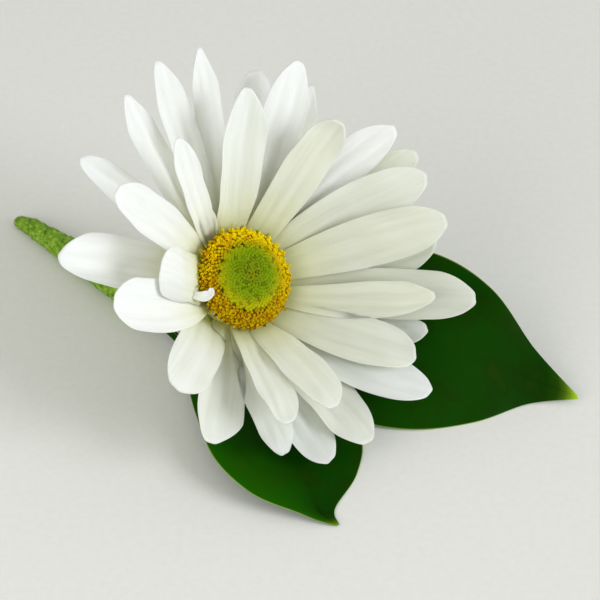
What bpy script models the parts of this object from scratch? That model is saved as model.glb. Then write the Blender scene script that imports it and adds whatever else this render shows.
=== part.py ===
"""White daisy made up as a buttonhole, lying on a table. Blender 4.5, metres, +Z up.

The bloom, its stem and two leaves of another plant are held together by one sleeve of
florist's tape. The bloom leans back on its bent neck and faces up towards -Y and +X.
"""
import math

import bmesh
import bpy
from mathutils import Matrix, Vector
from mathutils.geometry import delaunay_2d_cdt

MM = 0.001
GAP = 0.3 * MM

# Bloom: the middle of the disc's rim plane, and the way that the bloom faces
DISC_CENTRE = Vector((0.0, 0.0, 21.0)) * MM
BLOOM_AXIS = Vector((0.47, -0.525, 0.709)).normalized()

# Disc of tube florets: a ring of open ones round a dome of closed buds
DISC_RADIUS = 8.0 * MM
DISC_RIM_HEIGHT = 0.4 * MM
DISC_DOME = 3.3 * MM
DISC_UNDERSIDE = -1.0 * MM
BUD_RADIUS = 5.1 * MM
OPEN_INNER_RADIUS = BUD_RADIUS + GAP
FLORET_SPACING = 1.35 * MM
BUD_SPACING = 1.2 * MM
FLORET_HEIGHT = 0.75 * MM
BUD_HEIGHT = 0.35 * MM
DISC_SIDES = 30
GOLDEN_ANGLE = math.pi * (3.0 - math.sqrt(5.0))

# Petal roots: a collar round the receptacle that the petals grow from, layer on layer
COLLAR_INNER = 5.4 * MM
COLLAR_OUTER = 7.1 * MM
COLLAR_TOP = -1.5 * MM
COLLAR_BOTTOM = -3.9 * MM
ROOT_RADIUS = 6.9 * MM
ROOT_SINK = 1.1 * MM
FRONT_ROOT_HEIGHT = -1.95 * MM
LAYER_DROP = 0.63 * MM

# Petal blade
PETAL_THICKNESS = 0.62 * MM
PETAL_STATIONS = (0.0, 0.12, 0.28, 0.46, 0.64, 0.82, 0.94, 1.0)
PETAL_STRIPS = 4
CLAW_SHARE = 0.36
WIDEST_AT = 0.62
TIP_SHARE = 0.24
CHANNEL_SHARE = 0.16

# One row for each petal as it lies on the bloom: layer (0 is the front one), azimuth of
# the root, length and width in mm, rise, curl, sway and roll in degrees
PETALS = (
    (0.0, 20, 28.0, 8.2, 34.5, 12, -4, 8),
    (2.0, 8, 26.5, 7.2, 27, 8, 14, 0),
    (1.0, -4, 31.5, 8.4, 28, 6, 0, 0),
    (0.0, -14, 25.0, 6.0, 33, -8, 28, -6),
    (2.0, -27, 25.5, 5.2, 24, 0, 32, 0),
    (0.8, -33, 24.3, 7.8, 32.5, -8, 24, -6),
    (1.0, -44, 29.0, 7.2, 27, -8, 30, 0),
    (2.0, -44, 17.0, 5.8, 12, -10, 0, 0),
    (1.6, -58, 26.3, 7.3, 25, -8, 3, 0),
    (0.0, -66, 21.5, 6.8, 44, -12, 4, 0),
    (2.0, -74, 25.6, 6.8, 20, -6, 16, 0),
    (0.3, -87, 21.5, 6.2, 40, -12, 6, 0),
    (1.0, -86, 22.5, 5.6, 23, -6, 14, 0),
    (2.0, -98, 16.0, 6.0, 10, -8, 0, 0),
    (1.3, -105, 21.0, 7.8, 17, -10, 4, 0),
    (1.0, -126, 18.8, 8.3, 31, -30, -3, 0),
    (0.0, -154, 23.4, 8.4, 27, -24, -34, 0),
    (0.0, -174, 14.6, 8.3, 42, -14, -10, -14),
    (2.0, 178, 24.0, 8.4, 7, -14, -5, 0),
    (0.0, 157, 24.0, 7.0, 29, -12, 6, 0),
    (1.0, 148, 25.0, 5.2, 4, -8, 0, 0),
    (0.0, 128, 7.2, 2.6, 32, 0, 0, 0),
    (0.0, 131, 22.5, 4.8, 37, 6, 6, 0),
    (2.0, 130, 27.5, 5.2, 10, 6, -4, 0),
    (1.0, 118, 30.0, 5.8, 14, 4, 0, 0),
    (1.5, 105, 30.0, 5.2, 12.5, 6, 0, 0),
    (0.0, 101, 24.5, 6.8, 30, 8, -2, 0),
    (2.2, 88, 26.5, 7.2, 12, 0, 0, 0),
    (0.0, 80, 29.0, 7.0, 24, 8, 8, 0),
    (1.6, 70, 26.5, 5.2, 17.5, 4, 6, 0),
    (0.0, 66, 24.5, 7.2, 36, 12, 4, 0),
    (2.2, 59, 22.0, 4.8, 14, 4, -6, 0),
    (1.2, 53, 28.5, 7.0, 29, 12, -8, 0),
    (2.0, 41, 29.2, 6.4, 24, 10, -6, 0),
    (0.6, 38, 28.0, 8.0, 33, 14, -14, 8),
)

# Receptacle, its bracts and the flower stem
BOSS_RADIUS = 5.0 * MM
BOSS_TOP = DISC_UNDERSIDE - GAP
CUP_TOP = COLLAR_BOTTOM - GAP
CUP_PROFILE = ((6.6, -4.8), (5.6, -6.2), (3.6, -7.6), (1.9, -9.0))
CUP_SIDES = 20
# One row for each ring of bracts: how many, width, heights of root and tip, lift of the
# tip off the receptacle (mm) and the azimuth of the first one
BRACT_ROWS = ((11, 2.8, -6.9, -4.9, 0.2, 8.0), (10, 2.3, -8.3, -6.1, 0.25, -10.0))
BRACT_THICKNESS = 0.8
BRACT_SINK = 0.2
BRACT_SHAPE = ((0.0, 0.5), (0.45, 1.0), (0.8, 0.75), (1.0, 0.25))
STEM_RADIUS = 1.1 * MM
STEM_SIDES = 10
STEM_STEPS = 12
NECK_SINK = 1.5 * MM
NECK_SWELL = 0.35
NECK_HANDLE = 5.0 * MM

# Tape sleeve: from the pinched end to its mouth, lying on the table
TAPE_END = Vector((-38.4, 34.6, 0.0)) * MM
TAPE_MOUTH = Vector((-15.2, 12.5, 0.0)) * MM
TAPE_END_RADIUS = 1.15 * MM
TAPE_MOUTH_RADIUS = 2.95 * MM
TAPE_MOUTH_LENGTH = 8.5 * MM
TAPE_FLAT_DEPTH = 0.12 * MM
TAPE_PITCH = 4.2 * MM
TAPE_LAP = 0.16 * MM
TAPE_RINGS = 26
TAPE_SIDES = 14
PINCH_LENGTH = 2.6 * MM
PINCH_HEIGHT = 0.55 * MM
PINCH_SKEW = 1.0 * MM
MOUTH_BORE_RADIUS = 2.3 * MM
MOUTH_BORE_DEPTH = 7.0 * MM
STALK_INSET = 5.5 * MM
STEM_IN_BORE = 0.8 * MM
STALK_RADIUS = 0.65 * MM
STALK_OUT = 0.95 * MM
STALK_DOWN = 0.95 * MM
STALK_SIDES = 8

# Leaves: places along the midrib and along both edges, from base to tip, in mm
LEAF_THICKNESS = 0.6 * MM
LEAF_STATIONS = 13
LEAF_STRIPS = 6
RIGHT_LEAF = {
    "left": ((-9.0, 6.8, 3.7), (3.5, 11.5, 9.6), (17.0, 15.0, 14.6), (30.0, 11.6, 16.0),
             (39.2, 6.3, 13.3), (46.0, 0.0, 6.2), (52.7, -6.2, 1.9)),
    "midrib": ((-9.0, 6.2, 3.6), (3.0, 4.6, 5.8), (16.0, 2.2, 8.2), (28.0, -0.6, 8.2),
               (38.0, -2.8, 5.9), (46.3, -4.3, 3.0), (52.8, -6.5, 1.7)),
    "right": ((-9.0, 5.6, 3.4), (4.5, -3.2, 3.4), (15.0, -10.4, 1.9), (25.5, -12.6, 0.7),
              (36.0, -10.9, 0.4), (45.0, -7.2, 0.8), (52.8, -6.9, 1.6)),
}
FRONT_LEAF = {
    "left": ((-10.0, 5.8, 1.9), (2.5, 3.0, 1.2), (12.0, -4.0, 0.7), (18.2, -13.5, 0.4),
             (17.7, -21.6, 0.5), (14.2, -28.8, 0.5), (14.8, -32.0, 0.6)),
    "midrib": ((-10.5, 5.4, 2.0), (-4.5, -2.2, 2.0), (1.0, -9.5, 2.0), (6.0, -17.5, 2.2),
               (9.6, -24.4, 1.8), (11.8, -29.8, 1.1), (14.5, -32.2, 0.6)),
    "right": ((-10.9, 5.0, 2.0), (-9.4, -3.2, 3.4), (-7.4, -13.0, 4.2), (-4.3, -22.0, 4.5),
              (1.4, -28.4, 3.6), (9.2, -31.2, 1.8), (14.2, -32.3, 0.6)),
}

WHITE_PETAL = (0.86, 0.87, 0.80, 1.0)
YELLOW_FLORET = (0.72, 0.50, 0.03, 1.0)
GREEN_BUD = (0.25, 0.32, 0.02, 1.0)
STEM_GREEN = (0.13, 0.25, 0.04, 1.0)
TAPE_GREEN = (0.14, 0.30, 0.04, 1.0)
LEAF_GREEN = (0.012, 0.06, 0.006, 1.0)


def clear_scene():
    """Start from an empty file."""
    for item in list(bpy.data.objects):
        bpy.data.objects.remove(item, do_unlink=True)


def bloom_matrix():
    """Bloom frame: Z along the axis, X the in-plane way nearest to the world's X."""
    z = BLOOM_AXIS
    x = (Vector((1.0, 0.0, 0.0)) - z * z.x).normalized()
    y = z.cross(x)
    turn = Matrix((x, y, z)).transposed().to_4x4()
    return Matrix.Translation(DISC_CENTRE) @ turn


def plain_material(name, colour, roughness):
    """A Principled material for one sub-part."""
    material = bpy.data.materials.new(name)
    material.use_nodes = True
    shader = material.node_tree.nodes["Principled BSDF"]
    shader.inputs["Base Color"].default_value = colour
    shader.inputs["Roughness"].default_value = roughness
    shader.inputs["Metallic"].default_value = 0.0
    return material


def make_object(name, verts, faces, material=None, matrix=None):
    """Mesh object from points and faces, with its normals facing out."""
    mesh = bpy.data.meshes.new(name)
    mesh.from_pydata([tuple(v) for v in verts], [], faces)
    if matrix is not None:
        mesh.transform(matrix)
    shell = bmesh.new()
    shell.from_mesh(mesh)
    bmesh.ops.recalc_face_normals(shell, faces=shell.faces)
    shell.to_mesh(mesh)
    shell.free()
    if material is not None:
        mesh.materials.append(material)
    item = bpy.data.objects.new(name, mesh)
    bpy.context.collection.objects.link(item)
    return item


def join_repeats(body, repeats):
    """Fuse the repeats into the body by one Boolean union and remove them."""
    group = bpy.data.collections.new(body.name + "_repeats")
    bpy.context.scene.collection.children.link(group)
    for item in repeats:
        for owner in list(item.users_collection):
            owner.objects.unlink(item)
        group.objects.link(item)
    union = body.modifiers.new("Join", "BOOLEAN")
    union.operation = "UNION"
    union.operand_type = "COLLECTION"
    union.collection = group
    apply_modifiers(body)
    for item in list(group.objects):
        bpy.data.objects.remove(item, do_unlink=True)
    bpy.data.collections.remove(group)


def apply_modifiers(item):
    """Give the object the mesh that its modifiers make."""
    graph = bpy.context.evaluated_depsgraph_get()
    graph.update()
    result = bpy.data.meshes.new_from_object(item.evaluated_get(graph))
    item.modifiers.clear()
    item.data = result


def strip_faces(rows, columns, closed):
    """Triangles of a grid of points, rows by columns, cut alike everywhere."""
    faces = []
    steps = columns if closed else columns - 1
    for row in range(rows - 1):
        for column in range(steps):
            right = (column + 1) % columns
            a = row * columns + column
            b = row * columns + right
            c = a + columns
            d = b + columns
            faces.append((a, b, d))
            faces.append((a, d, c))
    return faces


def blade_solid(upper, lower, rows, columns):
    """Closed blade between two like grids of points, cut into triangles alike."""
    count = rows * columns
    faces = strip_faces(rows, columns, False)
    faces += [tuple(count + i for i in reversed(face)) for face in strip_faces(rows, columns, False)]
    rim = list(range(columns))
    rim += [row * columns + columns - 1 for row in range(1, rows)]
    rim += [(rows - 1) * columns + c for c in range(columns - 2, -1, -1)]
    rim += [row * columns for row in range(rows - 2, 0, -1)]
    for here, after in zip(rim, rim[1:] + rim[:1]):
        faces.append((after, here, count + here))
        faces.append((after, count + here, count + after))
    return upper + lower, faces


def blade_half_width(share):
    """Half the width of a petal along its length, as a share of the widest."""
    if share < WIDEST_AT:
        swell = math.sin(0.5 * math.pi * max(share, 0.0) / WIDEST_AT)
        return CLAW_SHARE + (1.0 - CLAW_SHARE) * swell ** 1.2
    past = (share - WIDEST_AT) / (1.0 - WIDEST_AT)
    return TIP_SHARE + (1.0 - TIP_SHARE) * math.sqrt(max(1.0 - past ** 2.4, 0.0))


def petal_line(layer, azimuth, length, rise, curl, sway, roll, stations):
    """Points, side ways and normals along a petal's middle, in the bloom frame."""
    start = math.radians(azimuth)
    point = Vector((math.cos(start), math.sin(start), 0.0)) * ROOT_RADIUS
    point.z = FRONT_ROOT_HEIGHT - LAYER_DROP * layer
    frames = []
    previous = 0.0
    steps = 6
    for share in stations:
        for step in range(steps):
            middle = previous + (share - previous) * (step + 0.5) / steps
            way = petal_heading(azimuth, rise, curl, sway, middle)
            point = point + way * (length * (share - previous) / steps)
        previous = share
        way = petal_heading(azimuth, rise, curl, sway, share)
        heading = math.radians(azimuth + sway * share)
        side = Vector((-math.sin(heading), math.cos(heading), 0.0))
        side = Matrix.Rotation(math.radians(roll * share), 3, way) @ side
        frames.append((point.copy(), side, way.cross(side).normalized()))
    return frames


def petal_heading(azimuth, rise, curl, sway, share):
    """Way that a petal's middle runs at a share of its length."""
    heading = math.radians(azimuth + sway * share)
    slope = math.radians(rise + curl * (share - 0.5))
    flat = Vector((math.cos(heading), math.sin(heading), 0.0))
    return flat * math.cos(slope) + Vector((0.0, 0.0, math.sin(slope)))


def petal_blade(layer, azimuth, length, width, rise, curl, sway, roll):
    """Upper and lower points of one petal, its root sunk into the collar."""
    length *= MM
    width *= MM
    frames = petal_line(layer, azimuth, length, rise, curl, sway, roll, PETAL_STATIONS)
    root_way = petal_heading(azimuth, rise, curl, sway, 0.0)
    root_point, root_side, root_normal = frames[0]
    frames.insert(0, (root_point - root_way * ROOT_SINK, root_side, root_normal))
    shares = (0.0,) + PETAL_STATIONS
    upper = []
    lower = []
    for (point, side, normal), share in zip(frames, shares):
        half = 0.5 * width * blade_half_width(share)
        depth = CHANNEL_SHARE * half * min(share * 3.0, 1.0)
        for strip in range(PETAL_STRIPS + 1):
            across = 2.0 * strip / PETAL_STRIPS - 1.0
            middle = point + side * (half * across) + normal * (depth * across * across)
            upper.append(middle + normal * (0.5 * PETAL_THICKNESS))
            lower.append(middle - normal * (0.5 * PETAL_THICKNESS))
    return upper, lower


def turned_ring(profile, sides):
    """Points and faces of a closed profile (radius, height) turned about Z."""
    count = len(profile)
    verts = []
    for side in range(sides):
        angle = 2.0 * math.pi * side / sides
        for radius, height in profile:
            verts.append(Vector((radius * math.cos(angle), radius * math.sin(angle), height)))
    faces = []
    for side in range(sides):
        after = (side + 1) % sides
        for i in range(count):
            j = (i + 1) % count
            faces.append((side * count + i, after * count + i, after * count + j, side * count + j))
    return verts, faces


def make_ray_florets(frame, material):
    """All the white petals, fused to the collar that they grow from."""
    profile = (
        (COLLAR_OUTER, COLLAR_BOTTOM),
        (COLLAR_OUTER, COLLAR_TOP),
        (COLLAR_INNER, COLLAR_TOP),
        (COLLAR_INNER, COLLAR_BOTTOM),
    )
    verts, faces = turned_ring(profile, 36)
    collar = make_object("ray_florets", verts, faces, material, frame)
    rows = len(PETAL_STATIONS) + 1
    blades = []
    for number, row in enumerate(PETALS):
        upper, lower = petal_blade(*row)
        verts, faces = blade_solid(upper, lower, rows, PETAL_STRIPS + 1)
        blades.append(make_object(f"petal_{number}", verts, faces, None, frame))
    join_repeats(collar, blades)
    return collar


def dome_height(radius):
    """Height of the disc's face over the rim plane at a radius."""
    share = min(radius / DISC_RADIUS, 1.0)
    return DISC_RIM_HEIGHT + DISC_DOME * (1.0 - share * share) ** 0.7


def floret_points(inner, outer, spacing):
    """Spiral of floret places between two radii, as the plant sets them."""
    step = spacing / math.sqrt(math.pi)
    places = []
    number = 0
    while True:
        radius = step * math.sqrt(number + 0.5)
        if radius > outer:
            return places
        if radius > inner:
            angle = number * GOLDEN_ANGLE
            places.append(Vector((radius * math.cos(angle), radius * math.sin(angle))))
        number += 1


def circle_points(radius, sides):
    """Flat points of a circle."""
    turns = [2.0 * math.pi * i / sides for i in range(sides)]
    return [Vector((radius * math.cos(a), radius * math.sin(a))) for a in turns]


def relief_face(inner, outer, spacing, height, sides):
    """Disc face raised to a peak at every floret, with valleys between them."""
    margin = 0.45 * spacing
    rim = circle_points(outer, sides)
    hole = circle_points(inner, sides) if inner > 0.0 else []
    peaks = floret_points(inner + margin if hole else -1.0, outer - margin, spacing)
    flat = rim + hole + peaks
    points, _, triangles, _, _, _ = delaunay_2d_cdt(flat, [], [], 0, 1e-7)
    first_peak = len(rim) + len(hole)
    verts = []
    for number, place in enumerate(points):
        radius = place.length
        lift = height * (1.0 + 0.25 * math.sin(5.0 * number)) if number >= first_peak else 0.0
        verts.append(Vector((place.x, place.y, dome_height(radius) + lift)))
    faces = []
    for triangle in triangles:
        if hole and all(len(rim) <= i < first_peak for i in triangle):
            continue
        centre = sum((points[i] for i in triangle), Vector((0.0, 0.0))) / 3.0
        verts.append(Vector((centre.x, centre.y, dome_height(centre.length) - 0.1 * height)))
        low = len(verts) - 1
        a, b, c = triangle
        faces += [(a, b, low), (b, c, low), (c, a, low)]
    return verts, faces


def make_disc_florets(frame, material):
    """Ring of open yellow florets, flared at the rim, round the buds."""
    verts, faces = relief_face(OPEN_INNER_RADIUS, DISC_RADIUS, FLORET_SPACING, FLORET_HEIGHT, DISC_SIDES)
    levels = ((7.5 * MM, -0.3 * MM), (6.5 * MM, DISC_UNDERSIDE), (OPEN_INNER_RADIUS, DISC_UNDERSIDE))
    ring_above = list(range(DISC_SIDES))
    for radius, height in levels:
        ring = []
        for place in circle_points(radius, DISC_SIDES):
            verts.append(Vector((place.x, place.y, height)))
            ring.append(len(verts) - 1)
        faces += bridge(ring_above, ring)
        ring_above = ring
    faces += bridge(ring_above, list(range(DISC_SIDES, 2 * DISC_SIDES)))
    return make_object("disc_florets", verts, faces, material, frame)


def make_disc_buds(frame, material):
    """Green dome of closed buds in the middle of the disc."""
    verts, faces = relief_face(0.0, BUD_RADIUS, BUD_SPACING, BUD_HEIGHT, DISC_SIDES)
    ring = []
    for place in circle_points(BUD_RADIUS, DISC_SIDES):
        verts.append(Vector((place.x, place.y, DISC_UNDERSIDE)))
        ring.append(len(verts) - 1)
    faces += bridge(list(range(DISC_SIDES)), ring)
    faces.append(tuple(ring))
    return make_object("disc_buds", verts, faces, material, frame)


def bridge(first, second):
    """Faces between two rings of as many points."""
    count = len(first)
    faces = []
    for i in range(count):
        j = (i + 1) % count
        faces.append((first[i], first[j], second[j], second[i]))
    return faces


def smooth_path(start, start_way, end, end_way, handle, steps):
    """Points of one smooth bend between two places with given ways."""
    a = start
    b = start + start_way * handle
    c = end - end_way * handle
    d = end
    points = []
    for step in range(steps + 1):
        t = step / steps
        u = 1.0 - t
        points.append(a * u ** 3 + b * (3 * u * u * t) + c * (3 * u * t * t) + d * t ** 3)
    return points


def tube_solid(points, radii, sides, up=Vector((0.0, 0.0, 1.0))):
    """Closed round tube along points, with a radius at each point."""
    verts = []
    for number, (point, radius) in enumerate(zip(points, radii)):
        before = points[max(number - 1, 0)]
        after = points[min(number + 1, len(points) - 1)]
        way = (after - before).normalized()
        side = way.cross(up).normalized()
        top = side.cross(way).normalized()
        for i in range(sides):
            angle = 2.0 * math.pi * (i + 0.5) / sides
            verts.append(point + side * (radius * math.sin(angle)) + top * (radius * math.cos(angle)))
    faces = strip_faces(len(points), sides, True)
    faces.append(tuple(range(sides)))
    last = (len(points) - 1) * sides
    faces.append(tuple(range(last, last + sides)))
    return verts, faces


def tape_way():
    """Level way from the sleeve's mouth to its pinched end."""
    return (TAPE_END - TAPE_MOUTH).normalized()


def bore_place(out, up, inset):
    """Place in the sleeve's mouth, beside and above its middle, at an inset."""
    way = tape_way()
    side = way.cross(Vector((0.0, 0.0, 1.0)))
    middle = TAPE_MOUTH + Vector((0.0, 0.0, TAPE_MOUTH_RADIUS - TAPE_FLAT_DEPTH))
    return middle + way * inset + side * out + Vector((0.0, 0.0, up))


def make_stem(frame, material):
    """Receptacle with its bracts, and the stem bent down into the tape."""
    cup_profile = [(radius * MM, height * MM) for radius, height in CUP_PROFILE]
    flange = (cup_profile[0][0], CUP_TOP)
    profile = [(BOSS_RADIUS, BOSS_TOP), (BOSS_RADIUS, CUP_TOP), flange] + cup_profile
    verts = []
    for radius, height in profile:
        verts += [Vector((p.x, p.y, height)) for p in circle_points(radius, CUP_SIDES)]
    faces = [tuple(range(CUP_SIDES))]
    for level in range(len(profile) - 1):
        above = list(range(level * CUP_SIDES, (level + 1) * CUP_SIDES))
        faces += bridge(above, [i + CUP_SIDES for i in above])
    last = (len(profile) - 1) * CUP_SIDES
    faces.append(tuple(range(last, last + CUP_SIDES)))
    cup = make_object("stem_and_calyx", verts, faces, material, frame)

    cup_end = CUP_PROFILE[-1][1] * MM
    neck = frame @ Vector((0.0, 0.0, cup_end + NECK_SINK))
    mouth = bore_place(0.0, STEM_IN_BORE, 0.0)
    points = smooth_path(neck, -BLOOM_AXIS, mouth, tape_way(), NECK_HANDLE, STEM_STEPS)
    points.append(bore_place(0.0, STEM_IN_BORE, STALK_INSET))
    radii = [STEM_RADIUS * (1.0 + NECK_SWELL * max(1.0 - i / 4.0, 0.0)) for i in range(len(points))]
    verts, faces = tube_solid(points, radii, STEM_SIDES)
    repeats = [make_object("stem_rod", verts, faces)]
    repeats += make_bracts(frame)
    join_repeats(cup, repeats)
    return cup


def make_bracts(frame):
    """Green scales that lap round the outside of the receptacle in two rows."""
    scales = []
    for count, width, root_height, tip_height, lift, start in BRACT_ROWS:
        for number in range(count):
            angle = math.radians(start + 360.0 * number / count)
            out = Vector((math.cos(angle), math.sin(angle), 0.0))
            side = Vector((-math.sin(angle), math.cos(angle), 0.0))
            upper = []
            lower = []
            for share, half in BRACT_SHAPE:
                height = root_height + (tip_height - root_height) * share
                radius = cup_radius(height) - BRACT_SINK + (lift + BRACT_SINK) * share
                rise = cup_radius(height + 0.2) - cup_radius(height - 0.2)
                normal = (out * 0.4 - Vector((0.0, 0.0, rise))).normalized()
                for across in (-1.0, 0.0, 1.0):
                    middle = out * (radius - 0.2 * abs(across)) + Vector((0.0, 0.0, height))
                    middle += side * (0.5 * width * half * across)
                    upper.append((middle + normal * (0.5 * BRACT_THICKNESS)) * MM)
                    lower.append((middle - normal * (0.5 * BRACT_THICKNESS)) * MM)
            verts, faces = blade_solid(upper, lower, len(BRACT_SHAPE), 3)
            scales.append(make_object(f"bract_{count}_{number}", verts, faces, None, frame))
    return scales


def cup_radius(height):
    """Radius of the receptacle's outside at a height, both in mm."""
    for (r1, h1), (r2, h2) in zip(CUP_PROFILE, CUP_PROFILE[1:]):
        if h2 <= height <= h1:
            return r1 + (r2 - r1) * (height - h1) / (h2 - h1)
    return CUP_PROFILE[0][0]


def make_tape(material):
    """Sleeve of wound tape with lapped ridges, a flat underside and a pinched end."""
    way = tape_way()
    up = Vector((0.0, 0.0, 1.0))
    side = way.cross(up)
    length = (TAPE_END - TAPE_MOUTH).length
    verts = []
    for ring in range(TAPE_RINGS + 1):
        run = length * ring / TAPE_RINGS
        share = max(run - TAPE_MOUTH_LENGTH, 0.0) / (length - TAPE_MOUTH_LENGTH)
        radius = TAPE_MOUTH_RADIUS + (TAPE_END_RADIUS - TAPE_MOUTH_RADIUS) * share
        pinch = max(0.0, (run - length + PINCH_LENGTH) / PINCH_LENGTH)
        tall = radius + (0.5 * PINCH_HEIGHT - radius) * pinch ** 1.5
        height = radius - TAPE_FLAT_DEPTH
        for i in range(TAPE_SIDES):
            angle = 2.0 * math.pi * (i + 0.5) / TAPE_SIDES
            lap = TAPE_LAP * ((run / TAPE_PITCH - angle / (2.0 * math.pi)) % 1.0)
            skew = PINCH_SKEW * pinch * math.cos(angle)
            spot = TAPE_MOUTH + way * (run + skew)
            spot = spot + side * ((radius + lap) * math.sin(angle))
            spot.z = max(0.0, height * (1.0 - 0.4 * pinch) + (tall + lap) * math.cos(angle))
            verts.append(spot)
    faces = strip_faces(TAPE_RINGS + 1, TAPE_SIDES, True)
    faces.append(tuple(range(TAPE_SIDES)))
    last = TAPE_RINGS * TAPE_SIDES
    faces.append(tuple(range(last, last + TAPE_SIDES)))
    sleeve = make_object("stem_tape", verts, faces, material)

    ends = [bore_place(0.0, 0.0, -2.0 * MM), bore_place(0.0, 0.0, MOUTH_BORE_DEPTH)]
    verts, faces = tube_solid(ends, [MOUTH_BORE_RADIUS] * 2, 16)
    bore = make_object("mouth_bore", verts, faces)
    bore.hide_render = True
    bore.display_type = "WIRE"
    cut = sleeve.modifiers.new("Bore", "BOOLEAN")
    cut.operation = "DIFFERENCE"
    cut.object = bore
    apply_modifiers(sleeve)
    bpy.data.objects.remove(bore, do_unlink=True)
    return sleeve


def spline_point(places, share):
    """Point on the smooth curve through places, from end to end."""
    points = [Vector(place) for place in places]
    spans = len(points) - 1
    place = min(share * spans, spans - 1e-6)
    i = int(place)
    t = place - i
    before = points[max(i - 1, 0)]
    a = points[i]
    b = points[i + 1]
    after = points[min(i + 2, spans)]
    return 0.5 * (
        2.0 * a
        + (b - before) * t
        + (2.0 * before - 5.0 * a + 4.0 * b - after) * t * t
        + (3.0 * a - before - 3.0 * b + after) * t ** 3
    )


def leaf_point(leaf, share, across):
    """Point of a leaf's middle surface: share from base to tip, across -1 to 1."""
    left, middle, right = (spline_point(leaf[line], share) for line in ("left", "midrib", "right"))
    return middle + (left - right) * (0.5 * across) + ((left + right) * 0.5 - middle) * across ** 2


def leaf_normal(leaf, share, across):
    """Upward normal of a leaf's middle surface."""
    step = 0.01
    ahead = leaf_point(leaf, min(share + step, 1.0), across)
    behind = leaf_point(leaf, max(share - step, 0.0), across)
    along = ahead - behind
    sideways = leaf_point(leaf, share, across + step) - leaf_point(leaf, share, across - step)
    return along.cross(sideways).normalized()


def make_leaf(name, leaf, out, material):
    """One leaf, touching the table, with its stalk that runs into the mouth of the tape."""
    upper = []
    lower = []
    for station in range(LEAF_STATIONS):
        share = station / (LEAF_STATIONS - 1)
        for strip in range(LEAF_STRIPS + 1):
            across = 2.0 * strip / LEAF_STRIPS - 1.0
            middle = leaf_point(leaf, share, across) * MM
            normal = leaf_normal(leaf, share, across)
            upper.append(middle + normal * (0.5 * LEAF_THICKNESS))
            lower.append(middle - normal * (0.5 * LEAF_THICKNESS))
    table = Vector((0.0, 0.0, min(point.z for point in upper + lower)))
    upper = [point - table for point in upper]
    lower = [point - table for point in lower]
    verts, faces = blade_solid(upper, lower, LEAF_STATIONS, LEAF_STRIPS + 1)
    blade = make_object(name, verts, faces, material)

    base = leaf_point(leaf, 0.0, 0.0) * MM
    inner = leaf_point(leaf, 0.06, 0.0) * MM
    mouth = bore_place(out, -STALK_DOWN, 0.0)
    points = smooth_path(inner, (base - inner).normalized(), mouth, tape_way(), 2.0 * MM, 6)
    points.append(bore_place(out, -STALK_DOWN, STALK_INSET))
    verts, faces = tube_solid(points, [STALK_RADIUS] * len(points), STALK_SIDES)
    stalk = make_object(name + "_stalk", verts, faces)
    join_repeats(blade, [stalk])
    return blade


def stand_on_origin():
    """Move the whole model so that its box stands on the origin, centred."""
    corners = [v.co for item in bpy.data.objects for v in item.data.vertices]
    low = Vector([min(c[i] for c in corners) for i in range(3)])
    high = Vector([max(c[i] for c in corners) for i in range(3)])
    shift = Vector((-(low.x + high.x) / 2.0, -(low.y + high.y) / 2.0, 0.0))
    for item in bpy.data.objects:
        item.data.transform(Matrix.Translation(shift))


def main():
    clear_scene()
    frame = bloom_matrix()
    make_ray_florets(frame, plain_material("white_petal", WHITE_PETAL, 0.5))
    make_disc_florets(frame, plain_material("yellow_floret", YELLOW_FLORET, 0.6))
    make_disc_buds(frame, plain_material("green_bud", GREEN_BUD, 0.6))
    make_stem(frame, plain_material("stem_green", STEM_GREEN, 0.5))
    make_tape(plain_material("tape_green", TAPE_GREEN, 0.55))
    leaf_material = plain_material("leaf_green", LEAF_GREEN, 0.35)
    make_leaf("leaf_right", RIGHT_LEAF, STALK_OUT, leaf_material)
    make_leaf("leaf_front", FRONT_LEAF, -STALK_OUT, leaf_material)
    for item in bpy.data.objects:
        item.data.shade_smooth()
        item.data.set_sharp_from_angle(angle=math.radians(40.0))
    stand_on_origin()


main()
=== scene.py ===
"""White daisy made up as a buttonhole, lying on a table: the looks. Blender 4.5, metres, +Z up.

The bloom, its bent neck and two broad leaves of another plant are held by one sleeve of wound tape.
Shapes are worked out in millimetres about a point on the table below the disc's middle, and
are then set into the frame.
"""
import functools
import math

import bpy
import numpy as np
from mathutils import Matrix, Vector


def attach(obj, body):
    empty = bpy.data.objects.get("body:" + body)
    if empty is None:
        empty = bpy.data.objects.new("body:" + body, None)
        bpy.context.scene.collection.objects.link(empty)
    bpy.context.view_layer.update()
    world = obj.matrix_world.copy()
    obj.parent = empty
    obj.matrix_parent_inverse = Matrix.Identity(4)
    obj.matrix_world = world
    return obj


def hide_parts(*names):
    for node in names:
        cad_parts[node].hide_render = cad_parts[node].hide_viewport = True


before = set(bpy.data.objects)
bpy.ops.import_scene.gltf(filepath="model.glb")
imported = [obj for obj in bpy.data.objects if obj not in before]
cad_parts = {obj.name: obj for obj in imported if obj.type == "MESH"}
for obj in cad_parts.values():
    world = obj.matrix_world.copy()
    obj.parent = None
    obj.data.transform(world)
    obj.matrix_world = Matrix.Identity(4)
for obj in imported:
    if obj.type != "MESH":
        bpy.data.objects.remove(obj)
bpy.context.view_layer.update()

MM = 0.001
TAU = 2.0 * math.pi
# Where the measuring point, the table below the disc's middle, lies in the frame, in mm
STAND = np.array((-6.66, -1.618, 0.0))

# Bloom: middle of the disc's rim plane and the way that the bloom faces
DISC_CENTRE = Vector((0.0, 0.0, 21.0))
BLOOM_AXIS = Vector((0.47, -0.525, 0.709)).normalized()

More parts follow.
